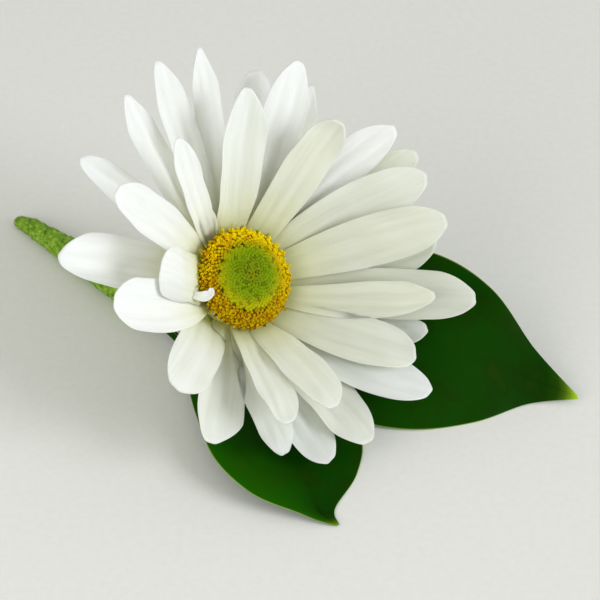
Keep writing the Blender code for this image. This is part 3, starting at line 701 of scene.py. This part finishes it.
def make_open_florets(material):
    """Ring of open yellow florets round the buds, with slender ones that stand out at the rim."""
    piece = Piece()
    rng = np.random.default_rng(23)
    piece.add(*dome_bed(BUD_RADIUS + 0.2, DISC_RADIUS - 0.25))
    for number, radius, angle in floret_places():
        if radius < FIRST_OPEN or radius > LAST_OPEN:
            continue
        full = math.cos(angle - FULLEST_WAY)
        size = rng.uniform(0.50, 0.78) * (0.92 + 0.12 * full)
        shut = 0.9 if ripeness(radius, angle) < YOUNG_UNTIL else 0.3 + 0.3 * full
        if rng.uniform() < shut:
            add_floret(piece, number, radius, angle, "swelling", size * 1.05, rng)
            continue
        add_floret(piece, number, radius, angle, "open", size, rng)
        if rng.uniform() < 0.8:
            add_floret(piece, number + 0.5, radius, angle, "style", size * 1.25, rng)
    for number in range(RIM_FLORETS):
        angle = (number + rng.uniform(-0.4, 0.4)) * TAU / RIM_FLORETS
        if math.cos(angle) > 0.3 or math.cos(angle - LIP_ANGLE) > 0.98:
            continue
        size = rng.uniform(0.55, 1.0) * (0.65 - 0.45 * math.cos(angle))
        add_floret(piece, FIRST_RIM_NUMBER + number, RIM_FLORET_PLACE, angle, "rim", size, rng, 1.0)
    return piece.make("open_florets", "disc_florets", material)


def make_closed_buds(material):
    """Green dome of closed buds, smaller and more crowded towards the middle."""
    piece = Piece()
    rng = np.random.default_rng(31)
    piece.add(*dome_bed(0.0, BUD_RADIUS))
    for number, radius, angle in floret_places():
        if radius > LAST_BUD:
            continue
        size = (0.56 + 0.16 * radius / BUD_RADIUS) * rng.uniform(0.85, 1.15)
        add_floret(piece, number, radius, angle, "closed", size, rng)
    return piece.make("closed_buds", "disc_buds", material)


# Receptacle, stem, tape and leaves

def tape_way():
    """Level way from the sleeve's mouth to its pinched end."""
    return (TAPE_END - TAPE_MOUTH).normalized()


def bore_place(out, up, inset):
    """Place in the sleeve's mouth, beside and above its middle, at an inset."""
    way = tape_way()
    side = way.cross(Vector((0.0, 0.0, 1.0)))
    middle = TAPE_MOUTH + Vector((0.0, 0.0, TAPE_MOUTH_RADIUS - TAPE_FLAT_DEPTH))
    return middle + way * inset + side * out + Vector((0.0, 0.0, up))


def cup_radius(height):
    """Radius of the receptacle's outside at a height."""
    heights = [h for _, h in CUP_PROFILE][::-1]
    radii = [r for r, _ in CUP_PROFILE][::-1]
    return np.interp(height, heights, radii)


def make_calyx_and_stem(material):
    """Receptacle with three rows of lapped bracts, and the ribbed stem bent into the tape."""
    piece = Piece()
    rng = np.random.default_rng(41)
    boss = ((0.0, BOSS_TOP), (BOSS_RADIUS, BOSS_TOP), (BOSS_RADIUS, -4.2))
    points, faces = turned_ring(boss + CUP_PROFILE + ((0.0, -9.2),), RING_SIDES, closed=False)
    piece.add(from_bloom(points), faces, (0.0, 0.0, 0.0), (0.0, 0.3, 0.5))

    for row in BRACT_ROWS:
        for number in range(row[0]):
            add_bract(piece, number, row, rng)

    neck = bloom_matrix() @ Vector((0.0, 0.0, CUP_PROFILE[-1][1] + 1.5))
    mouth = bore_place(0.0, STEM_IN_BORE, 0.0)
    path = smooth_path(neck, -BLOOM_AXIS, mouth, tape_way(), NECK_HANDLE, NECK_STEPS)
    path += [bore_place(0.0, STEM_IN_BORE, STALK_INSET * i / 8) for i in range(1, 9)]
    radii = [STEM_RADIUS * (1.0 + NECK_SWELL * max(1.0 - i / NECK_SWELL_STEPS, 0.0))
             for i in range(len(path))]
    ribs = STEM_RIB_DEPTH * np.cos(STEM_RIBS * ring_angles(STEM_SIDES))
    add_tube(piece, path, radii, STEM_SIDES, relief=ribs)
    return piece.make("calyx_and_stem", "stem_and_calyx", material)


def add_bract(piece, number, row, rng):
    """One green scale on the receptacle, with a thin pale margin and a blunt tip."""
    count, width, root_height, tip_height, lift, start = row
    azimuth = math.radians(start + 360.0 * number / count + rng.uniform(-3.0, 3.0))
    s, a = blade_grid(*BRACT_GRID)
    s = s * (1.0 - 0.22 * a * a)
    height = root_height + (tip_height + rng.uniform(-0.12, 0.12) - root_height) * s
    form = np.interp(s, (0.0, 0.4, 0.75, 0.92, 1.0), (0.75, 1.0, 0.86, 0.55, 0.3))
    spread = 0.5 * width * form * a
    stand = BRACT_STAND + lift * smoothstep(0.2, 1.0, s) + BRACT_BULGE * (1.0 - a * a)
    radius = cup_radius(height) + stand
    turn = azimuth + spread / np.maximum(cup_radius(height), 1.5)
    middle = from_bloom(vectors(radius * np.cos(turn), radius * np.sin(turn), height))
    thick = BRACT_HALF_THICKNESS * (1.0 - 0.7 * a ** 4)
    lie = vectors(spread, s * (tip_height - root_height), count + number)
    add_blade(piece, middle, grid_normals(middle), thick, lie, vectors(a, s, rng.uniform()))


def make_sleeve(material):
    """Sleeve of wound tape with lapped edges, a flat underside, a pinched end and an open mouth."""
    piece = Piece()
    sides = RING_SIDES
    length = (TAPE_END - TAPE_MOUTH).length
    way = np.array(tape_way())
    side = np.cross(way, (0.0, 0.0, 1.0))
    angle = TAU * (np.arange(sides) + 0.5)[None, :] / sides
    run = np.linspace(0.0, 1.0, SLEEVE_ROWS)[:, None] * length
    share = np.clip(run - TAPE_MOUTH_LENGTH, 0.0, None) / (length - TAPE_MOUTH_LENGTH)
    radius = TAPE_MOUTH_RADIUS + (TAPE_END_RADIUS - TAPE_MOUTH_RADIUS) * share
    pinch = np.clip((run - length + PINCH_LENGTH) / PINCH_LENGTH, 0.0, 1.0)
    tall = radius + (0.5 * PINCH_HEIGHT - radius) * pinch ** 1.5
    height = radius - TAPE_FLAT_DEPTH
    turns = run / TAPE_PITCH - angle / TAU
    lap = TAPE_LAP * np.minimum((turns % 1.0) ** 0.7, (1.0 - turns % 1.0) * 12.0)
    crease = np.sin(17.0 * angle + 1.9 * run) * np.sin(5.0 * turns + 2.0 * np.sin(3.0 * angle))
    fine = np.sin(29.0 * angle - 3.1 * run + 1.0)
    lap = lap + (CREASE_HEIGHT * crease + FINE_CREASE_HEIGHT * fine) * (0.4 + share)
    skew = PINCH_SKEW * pinch * np.cos(angle)
    spot = np.array(TAPE_MOUTH) + way * (run + skew)[..., None]
    spot = spot + side * ((radius + lap) * np.sin(angle))[..., None]
    spot[..., 2] = np.maximum(0.0, height * (1.0 - 0.4 * pinch) + (tall + lap) * np.cos(angle))

    centre = np.array(bore_place(0.0, 0.0, 0.0))
    inner = []
    for r, inset in ((0.3, MOUTH_BORE_DEPTH), (MOUTH_BORE_RADIUS, MOUTH_BORE_DEPTH),
                     (MOUTH_BORE_RADIUS, 0.6), (MOUTH_BORE_RADIUS + 0.12, 0.1)):
        ring = centre + way * inset + side * (r * np.sin(angle[0]))[:, None]
        ring[:, 2] += r * np.cos(angle[0])
        inner.append(ring)
    lip = 0.5 * (inner[-1] + spot[0]) - way * 0.12
    points = np.concatenate((np.stack(inner + [lip]), spot))
    lie = np.zeros(points.shape)
    lie[-SLEEVE_ROWS:] = vectors(angle * TAPE_MOUTH_RADIUS, run, turns)
    values = np.zeros(points.shape) + (0.0, 0.0, 0.5)
    values[-SLEEVE_ROWS:] = vectors(turns % 1.0, run / length, 0.5)
    piece.add(points, grid_faces(len(points), sides, ring=True), lie, values)
    last = points[-1]
    add_cap(piece, last, last.mean(axis=0), (0.0, length, 0.0), (0.5, 1.0, 0.5))
    return piece.make("taped_sleeve", "stem_tape", material)


def spline(places, share):
    """Points on the smooth curve through places, at shares from end to end."""
    points = np.asarray(places, float)
    spans = len(points) - 1
    place = np.clip(share * spans, 0.0, spans - 1e-6)
    i = place.astype(int)
    t = (place - i)[..., None]
    before = points[np.maximum(i - 1, 0)]
    a = points[i]
    b = points[i + 1]
    after = points[np.minimum(i + 2, spans)]
    return 0.5 * (2.0 * a + (b - before) * t + (2.0 * before - 5.0 * a + 4.0 * b - after) * t ** 2
                  + (3.0 * a - before - 3.0 * b + after) * t ** 3)


def leaf_surface(leaf, share, across):
    """Points of a leaf's middle surface: share from base to tip, across -1 to 1."""
    left = spline(leaf["left"], share)
    middle = spline(leaf["midrib"], share)
    right = spline(leaf["right"], share)
    a = across[..., None]
    return middle + (left - right) * (0.5 * a) + ((left + right) * 0.5 - middle) * a ** 2


def make_leaf(name, node, leaf, out, seed, material):
    """One broad leaf with a sunk midrib, waves and ridged veins, and its stalk."""
    piece = Piece()
    phases = np.random.default_rng(seed).uniform(0.0, TAU, len(LEAF_WAVES))
    s, a = blade_grid(LEAF_ROWS, LEAF_COLUMNS)
    a = np.sin(0.5 * np.pi * a)
    middle = leaf_surface(leaf, s, a)
    normal = grid_normals(middle)
    body = smoothstep(0.0, 0.12, s) * (1.0 - smoothstep(0.86, 1.0, s))
    relief = -MIDRIB_DEPTH * np.exp(-(a / MIDRIB_WIDTH) ** 2) * body
    for (turns, slant, height), phase in zip(LEAF_WAVES, phases):
        relief = relief + height * np.sin(TAU * turns * s + phase + slant * a) * body
    middle = middle + normal * relief[..., None]
    thick = LEAF_HALF_THICKNESS * (1.0 - 0.75 * a ** 10) * (1.0 - 0.5 * smoothstep(0.9, 1.0, s))
    low = (middle - normal * thick[..., None])[..., 2].min()
    middle[..., 2] -= low
    left = spline(leaf["left"], s)
    right = spline(leaf["right"], s)
    half = 0.5 * np.linalg.norm(left - right, axis=-1)
    length = np.linalg.norm(np.diff(middle[:, LEAF_COLUMNS // 2], axis=0), axis=1).sum()
    lie = vectors(a * half, s * length, seed)
    add_blade(piece, middle, grid_normals(middle), thick, lie, vectors(a, s, leaf["age_and_side_light"]))

    base = Vector(leaf_surface(leaf, np.array(0.0), np.array(0.0)))
    inner = Vector(leaf_surface(leaf, np.array(STALK_JOIN), np.array(0.0)))
    base.z -= low
    inner.z -= low
    mouth = bore_place(out, -STALK_DOWN, 0.0)
    path = smooth_path(inner, (base - inner).normalized(), mouth, tape_way(),
                       STALK_HANDLE, STALK_STEPS)
    path += [bore_place(out, -STALK_DOWN, STALK_INSET * i / 5) for i in range(1, 6)]
    radii = [STALK_RADIUS * (0.45 + 0.55 * min(i / 6.0, 1.0)) for i in range(len(path))]
    add_tube(piece, path, radii, STALK_SIDES, number=float(seed))
    return piece.make(name, node, material)


# Materials

def colour(code):
    """Linear colour of an sRGB hex value."""
    channels = [int(code[i:i + 2], 16) / 255.0 for i in (0, 2, 4)]
    linear = [c / 12.92 if c <= 0.04045 else ((c + 0.055) / 1.055) ** 2.4 for c in channels]
    return (*linear, 1.0)


# Settings of a mix that multiplies one colour by another
TINT = {"data_type": "RGBA", "blend_type": "MULTIPLY"}


def join(node, links):
    """Link a node's sockets from others; a whole node stands for its first output in use."""
    for name, source in links.items():
        if isinstance(source, bpy.types.Node):
            source = next(socket for socket in source.outputs if socket.enabled)
        node.id_data.links.new(source, node.inputs[name])


def add_node(tree, kind, settings=None, links=None):
    """Add one node: small-letter settings are its properties, the others values of its sockets.

    The stops of a ramp are places with sRGB hex colours.
    """
    node = tree.nodes.new("ShaderNode" + kind)
    for name, value in (settings or {}).items():
        if name == "stops":
            stops = node.color_ramp.elements
            for stop, (place, tone) in zip((stops[0], stops[-1]), (value[0], value[-1])):
                stop.position = place
                stop.color = colour(tone)
            for place, tone in value[1:-1]:
                stops.new(place).color = colour(tone)
        elif isinstance(name, str) and name[0].islower():
            setattr(node, name, value)
        else:
            node.inputs[name].default_value = value
    join(node, links or {})
    return node


def new_material(name, settings):
    """Empty material, the Principled shader at its output, and the way to add nodes to it."""
    material = bpy.data.materials.new(name)
    material.use_nodes = True
    material.node_tree.nodes.clear()
    add = functools.partial(add_node, material.node_tree)
    shader = add("BsdfPrincipled", settings)
    add("OutputMaterial", links={"Surface": shader})
    return material, shader, add


def carried(add):
    """Sockets of what a piece's surface carries: lie, share, and the three parts of share."""
    lie, share = (add("Attribute", {"attribute_name": name}).outputs["Vector"]
                  for name in ("lie", "share"))
    return lie, share, add("SeparateXYZ", links={0: share}).outputs


def petal_tissue():
    """Petal: thin living tissue of air-filled cells, which scatters light and lets it through.

    It is near white and matt. Fine lengthwise ribs, about 1 mm apart, catch the light, and the
    narrow root is tinted yellow-green. Each petal's cream number makes its white creamier and
    darker, as painted shade on the petals that lie in shade.
    """
    material, shader, add = new_material("petal_tissue", {
        "Roughness": 0.55, "IOR": 1.40, "Specular IOR Level": 0.30, "Subsurface Weight": 0.6,
        "Subsurface Radius": (1.0, 0.96, 0.80), "Subsurface Scale": 0.0012,
    })
    lie, _, part = carried(add)
    along = add("ValToRGB", {"stops": (
        (0.0, "CED086"), (0.08, "DADCAC"), (0.20, "E6E8D0"), (0.42, "EBEDE6"), (1.0, "EFF2F0"))},
        {0: part["Y"]})
    stretch = add("VectorMath", {"operation": "MULTIPLY", 1: (1.0, 0.06, 1.0)}, {0: lie})
    streak = add("TexNoise", {"Scale": 1.2, "Detail": 3.0, "Roughness": 0.5}, {"Vector": stretch})
    tone = add("ValToRGB", {"stops": ((0.30, "E4E6D8"), (0.58, "FFFFFF"))}, {0: streak})
    mixed = add("Mix", {**TINT, 0: 0.3}, {6: along, 7: tone})
    # Painted shade: a higher cream number gives a creamier, darker white
    cream_and_shade = add("ValToRGB", {"stops": ((0.0, "FFFFFF"), (0.15, "FAFBFB"), (0.90, "E3E4D3"))},
                {0: part["Z"]})
    whole = add("Mix", {**TINT, 0: 1.0}, {6: mixed, 7: cream_and_shade})
    ribs = add("TexWave", {
        "wave_type": "BANDS", "bands_direction": "X", "Scale": 0.32, "Distortion": 0.6,
        "Detail": 1.0, "Detail Scale": 0.8}, {"Vector": stretch})
    height = add("Mix", {"data_type": "FLOAT", 0: 0.55}, {2: ribs.outputs["Fac"], 3: streak})
    bump = add("Bump", {"Strength": 0.12, "Distance": 0.00005}, {"Height": height})
    join(shader, {"Base Color": whole, "Normal": bump})
    return material


def corolla_tissue():
    """Corolla of a tube floret: yellow tissue, dusted with orange pollen at its mouth.

    It is matt and slightly translucent. The throats, the foot of each floret and the bed between
    florets are painted darker, down to brown, as shade; the oldest florets are orange, and those
    beside the buds are still greenish. Towards the bottom and the right of the disc the florets
    are painted darker and more olive, as shade, and at the bottom they are also less ripe.
    """
    material, shader, add = new_material("corolla_tissue", {
        "Roughness": 0.60, "IOR": 1.40, "Specular IOR Level": 0.10, "Subsurface Weight": 0.15,
        "Subsurface Radius": (1.0, 0.7, 0.05), "Subsurface Scale": 0.0004,
    })
    lie, _, part = carried(add)
    # Painted shade: colour by height on each floret, brown at its foot and in the bed between
    # florets, darker in the throat and bright yellow on the lobes
    rise = add("ValToRGB", {"stops": (
        (0.0, "8E7000"), (0.14, "D2B800"), (0.34, "F2DC00"), (0.60, "FFE800"), (1.0, "FCD000"))},
        {0: part["Y"]})
    spot = add("SeparateXYZ", links={0: lie}).outputs
    aged = add("Math", {"operation": "MULTIPLY_ADD", 1: 0.012}, {0: spot["Y"], 2: part["Z"]})
    ripe = add("Math", {"operation": "MULTIPLY_ADD", 1: 0.025}, {0: spot["X"], 2: aged})
    chance = add("ValToRGB", {"stops": (
        (0.0, "D89830"), (0.10, "F0C060"), (0.24, "FFF4A0"), (1.0, "FFFFC0"))}, {0: ripe})
    mixed = add("Mix", {**TINT, 0: 0.75}, {6: rise, 7: chance})
    inward = add("ValToRGB", {"stops": (
        (0.60, "B4C850"), (0.69, "E0E070"), (0.78, "FFFFFF"), (0.955, "FFFFFF"),
        (0.965, "98B458"))}, {0: part["X"]})
    whole = add("Mix", {**TINT, 0: 1.0}, {6: mixed, 7: inward})
    # Darker and more olive towards the bottom and the right of the disc: painted shade, and at the
    # bottom also less ripe florets
    left = add("Math", {"operation": "MULTIPLY_ADD", 1: -0.02, 2: 0.5}, {0: spot["X"]})
    low = add("Math", {"operation": "MULTIPLY_ADD", 1: 0.0625}, {0: spot["Y"], 2: left})
    unripe_and_shade = add("ValToRGB", {"stops": ((0.0, "CEC48C"), (0.35, "E2DCB8"), (0.85, "FFFFFF"))},
                {0: low})
    graded = add("Mix", {**TINT, 0: 1.0}, {6: whole, 7: unripe_and_shade})
    grain = add("TexNoise", {"Scale": 6.0, "Detail": 2.0}, {"Vector": lie})
    bump = add("Bump", {"Strength": 0.3, "Distance": 0.00005}, {"Height": grain})
    join(shader, {"Base Color": graded, "Normal": bump})
    return material


def bud_tissue():
    """Closed floret bud: waxy green skin that turns yellow as it swells, with a soft sheen."""
    material, shader, add = new_material("bud_tissue", {
        "Roughness": 0.50, "IOR": 1.40, "Specular IOR Level": 0.10, "Subsurface Weight": 0.15,
        "Subsurface Radius": (0.7, 1.0, 0.05), "Subsurface Scale": 0.0004,
    })
    share = add("Attribute", {"attribute_name": "share"})
    part = add("SeparateXYZ", links={0: share.outputs["Vector"]}).outputs
    outward = add("ValToRGB", {"stops": (
        (0.0, "888800"), (0.12, "768A00"), (0.42, "7C9800"), (0.52, "929E00"), (0.62, "AEAC00"))},
        {0: part["X"]})
    # Painted shade: the foot of each bud and the bed between buds are darker, the tops lightest
    rise = add("ValToRGB", {"stops": ((0.0, "8C9440"), (0.08, "C0C888"), (0.22, "FFFFFF"))},
               {0: part["Y"]})
    mixed = add("Mix", {**TINT, 0: 0.9}, {6: outward, 7: rise})
    withered = add("ValToRGB", {"stops": (
        (0.05, "B09058"), (0.12, "DCE0B4"), (0.5, "FFFFFF"))}, {0: part["Z"]})
    whole = add("Mix", {**TINT, 0: 0.6}, {6: mixed, 7: withered})
    join(shader, {"Base Color": whole})
    return material


def stem_tissue():
    """Stem and bracts: fibrous green skin, dull and a little rough, with dry margins on bracts."""
    material, shader, add = new_material("stem_tissue", {
        "Roughness": 0.60, "IOR": 1.40, "Specular IOR Level": 0.35, "Subsurface Weight": 0.08,
        "Subsurface Radius": (0.5, 1.0, 0.2), "Subsurface Scale": 0.0006,
    })
    lie, _, part = carried(add)
    stretch = add("VectorMath", {"operation": "MULTIPLY", 1: (1.0, 0.12, 1.0)}, {0: lie})
    fibre = add("TexNoise", {"Scale": 3.5, "Detail": 4.0}, {"Vector": stretch})
    green = add("ValToRGB", {"stops": ((0.30, "47701F"), (0.70, "7D9C45"))}, {0: fibre})
    far = add("Math", {"operation": "ABSOLUTE"}, {0: part["X"]})
    margin = add("ValToRGB", {"stops": ((0.70, "000000"), (0.95, "FFFFFF"))}, {0: far})
    mixed = add("Mix", {"data_type": "RGBA", 7: colour("B9B58A")}, {0: margin, 6: green})
    bump = add("Bump", {"Strength": 0.4, "Distance": 0.00008}, {"Height": fibre})
    join(shader, {"Base Color": mixed, "Normal": bump})
    return material


def waxed_crepe():
    """Florist's tape: green crepe paper waxed so that it clings, stretched as it is wound.

    It is satin, mottled where the wax whitens, and toned along each lapped edge.
    """
    material, shader, add = new_material("waxed_crepe", {
        "Roughness": 0.48, "IOR": 1.45, "Specular IOR Level": 0.25, "Subsurface Weight": 0.05,
        "Subsurface Radius": (0.4, 1.0, 0.2), "Subsurface Scale": 0.0004,
    })
    lie, _, part = carried(add)
    patch = add("TexNoise", {"Scale": 1.1, "Detail": 5.0, "Roughness": 0.65}, {"Vector": lie})
    green = add("ValToRGB", {"stops": (
        (0.36, "547C04"), (0.47, "76A41A"), (0.56, "90B636"), (0.68, "B0C864"))}, {0: patch})
    edge = add("ValToRGB", {"stops": (
        (0.0, "7E9E48"), (0.10, "FFFFFF"), (0.90, "FFFFFF"), (1.0, "C2D69A"))}, {0: part["X"]})
    mixed = add("Mix", {**TINT, 0: 0.8}, {6: green, 7: edge})
    stretch = add("VectorMath", {"operation": "MULTIPLY", 1: (2.4, 0.7, 1.0)}, {0: lie})
    crinkle = add("TexNoise", {"Scale": 2.0, "Detail": 4.0, "Roughness": 0.6}, {"Vector": stretch})
    bump = add("Bump", {"Strength": 0.8, "Distance": 0.00015}, {"Height": crinkle})
    join(shader, {"Base Color": mixed, "Normal": bump})
    return material


def leaf_cuticle():
    """Broad leaf: tough blade under a waxy cuticle, very dark green with a satin surface.

    Parallel veins, about 1 mm apart, and soft blotches; the thin rim and the tip go yellow. It
    darkens towards the tip, and one side of the younger leaf is painted a lighter, fresher
    green, as painted light.
    """
    material, shader, add = new_material("leaf_cuticle", {
        "Roughness": 0.48, "IOR": 1.45, "Specular IOR Level": 0.03,
    })
    lie, share, part = carried(add)
    patch = add("TexNoise", {"Scale": 0.22, "Detail": 4.0, "Roughness": 0.55}, {"Vector": lie})
    green = add("ValToRGB", {"stops": (
        (0.34, "0E4200"), (0.50, "124000"), (0.58, "143C00"), (0.72, "1C3E00"))}, {0: patch})
    outer = add("ValToRGB", {"stops": ((0.45, "FFFFFF"), (0.80, "D8D8D8"))}, {0: part["Y"]})
    deep = add("Mix", {**TINT, 0: 1.0}, {6: green, 7: outer})
    # Painted light: the near side of the younger leaf is mixed towards a light fresh green, the
    # more so the lower its age
    near = add("Math", {"operation": "MULTIPLY", 1: -1.0}, {0: part["X"]})
    side = add("ValToRGB", {"stops": ((0.0, "000000"), (0.95, "ACACAC"))}, {0: near})
    side_light_weight = add("Math", {"operation": "SUBTRACT", 0: 1.0}, {1: part["Z"]})
    painted_light_side = add("Math", {"operation": "MULTIPLY"}, {0: side, 1: side_light_weight})
    blade = add("Mix", {"data_type": "RGBA", 7: colour("2E8600")}, {0: painted_light_side, 6: deep})
    far = add("Math", {"operation": "ABSOLUTE"}, {0: part["X"]})
    rim = add("ValToRGB", {"stops": ((0.985, "000000"), (1.0, "FFFFFF"))}, {0: far})
    edged = add("Mix", {"data_type": "RGBA", 7: colour("8FA850")}, {0: rim, 6: blade})
    tip = add("ValToRGB", {"stops": (
        (0.87, "000000"), (0.91, "303030"), (0.935, "6C6C6C"), (0.955, "A8A8A8"),
        (0.99, "FFFFFF"))}, {0: part["Y"]})
    gone = add("Math", {"operation": "MULTIPLY"}, {0: tip, 1: part["Z"]})
    tipped = add("Mix", {"data_type": "RGBA", 7: colour("9AC02C")}, {0: gone, 6: edged})
    stretch = add("VectorMath", {"operation": "MULTIPLY", 1: (12.0, 0.3, 1.0)}, {0: share})
    veins = add("TexWave", {
        "wave_type": "BANDS", "bands_direction": "X", "Scale": 0.32, "Distortion": 0.4},
        {"Vector": stretch})
    bump = add("Bump", {"Strength": 0.12, "Distance": 0.00006}, {"Height": veins.outputs["Fac"]})
    join(shader, {"Base Color": tipped, "Normal": bump})
    return material


def table_board():
    """Table: pale matt board, smooth, with a faint cool tint."""
    material, shader, add = new_material("pale_board", {
        "Roughness": 0.85, "Specular IOR Level": 0.15,
    })
    place = add("TexCoord")
    grain = add("TexNoise", {"Scale": 900.0, "Detail": 2.0}, {"Vector": place.outputs["Object"]})
    tone = add("ValToRGB", {"stops": ((0.0, "E0E1DD"), (1.0, "E8E9E5"))}, {0: grain})
    join(shader, {"Base Color": tone})
    return material


# Table, light and camera

def set_stage():
    """Plain pale table, one soft low key light, a fill from the front left and an even sky."""
    scene = bpy.context.scene
    half = 0.5 * TABLE_SIZE
    corners = [(-half, -half, 0.0), (half, -half, 0.0), (half, half, 0.0), (-half, half, 0.0)]
    mesh = bpy.data.meshes.new("table")
    mesh.from_pydata(corners, [], [(0, 1, 2, 3)])
    mesh.materials.append(table_board())
    table = bpy.data.objects.new("table", mesh)
    scene.collection.objects.link(table)

    for name, way, distance, size, power, tone in LAMPS:
        way = Vector(way).normalized()
        light = bpy.data.lights.new(name, "AREA")
        light.shape = "DISK"
        light.size = size
        light.energy = power
        light.color = colour(tone)[:3]
        lamp = bpy.data.objects.new(name, light)
        lamp.location = way * distance
        lamp.rotation_euler = way.to_track_quat("Z", "Y").to_euler()
        scene.collection.objects.link(lamp)

    world = bpy.data.worlds.new("even_sky")
    world.use_nodes = True
    sky = world.node_tree.nodes["Background"]
    sky.inputs["Color"].default_value = colour(SKY_TONE)
    sky.inputs["Strength"].default_value = SKY_STRENGTH
    scene.world = world
    scene.view_settings.view_transform = "Standard"


def set_camera():
    """Camera at the photograph's viewing angle."""
    camera = bpy.data.cameras.new("camera")
    camera.sensor_width = CAMERA_SENSOR
    camera.lens = CAMERA_LENS
    camera.clip_start = 0.01
    camera.clip_end = 10.0
    holder = bpy.data.objects.new("camera", camera)
    holder.location = (np.array(CAMERA_PLACE) + STAND) * MM
    holder.rotation_euler = (math.radians(CAMERA_TILT), 0.0, 0.0)
    bpy.context.scene.collection.objects.link(holder)
    bpy.context.scene.camera = holder


def main():
    set_camera()
    make_petals(petal_tissue())
    make_open_florets(corolla_tissue())
    make_closed_buds(bud_tissue())
    make_calyx_and_stem(stem_tissue())
    make_sleeve(waxed_crepe())
    cuticle = leaf_cuticle()
    make_leaf("leaf_blade_right", "leaf_right", RIGHT_LEAF, STALK_OUT, 3, cuticle)
    make_leaf("leaf_blade_front", "leaf_front", FRONT_LEAF, -STALK_OUT, 5, cuticle)
    set_stage()


main()
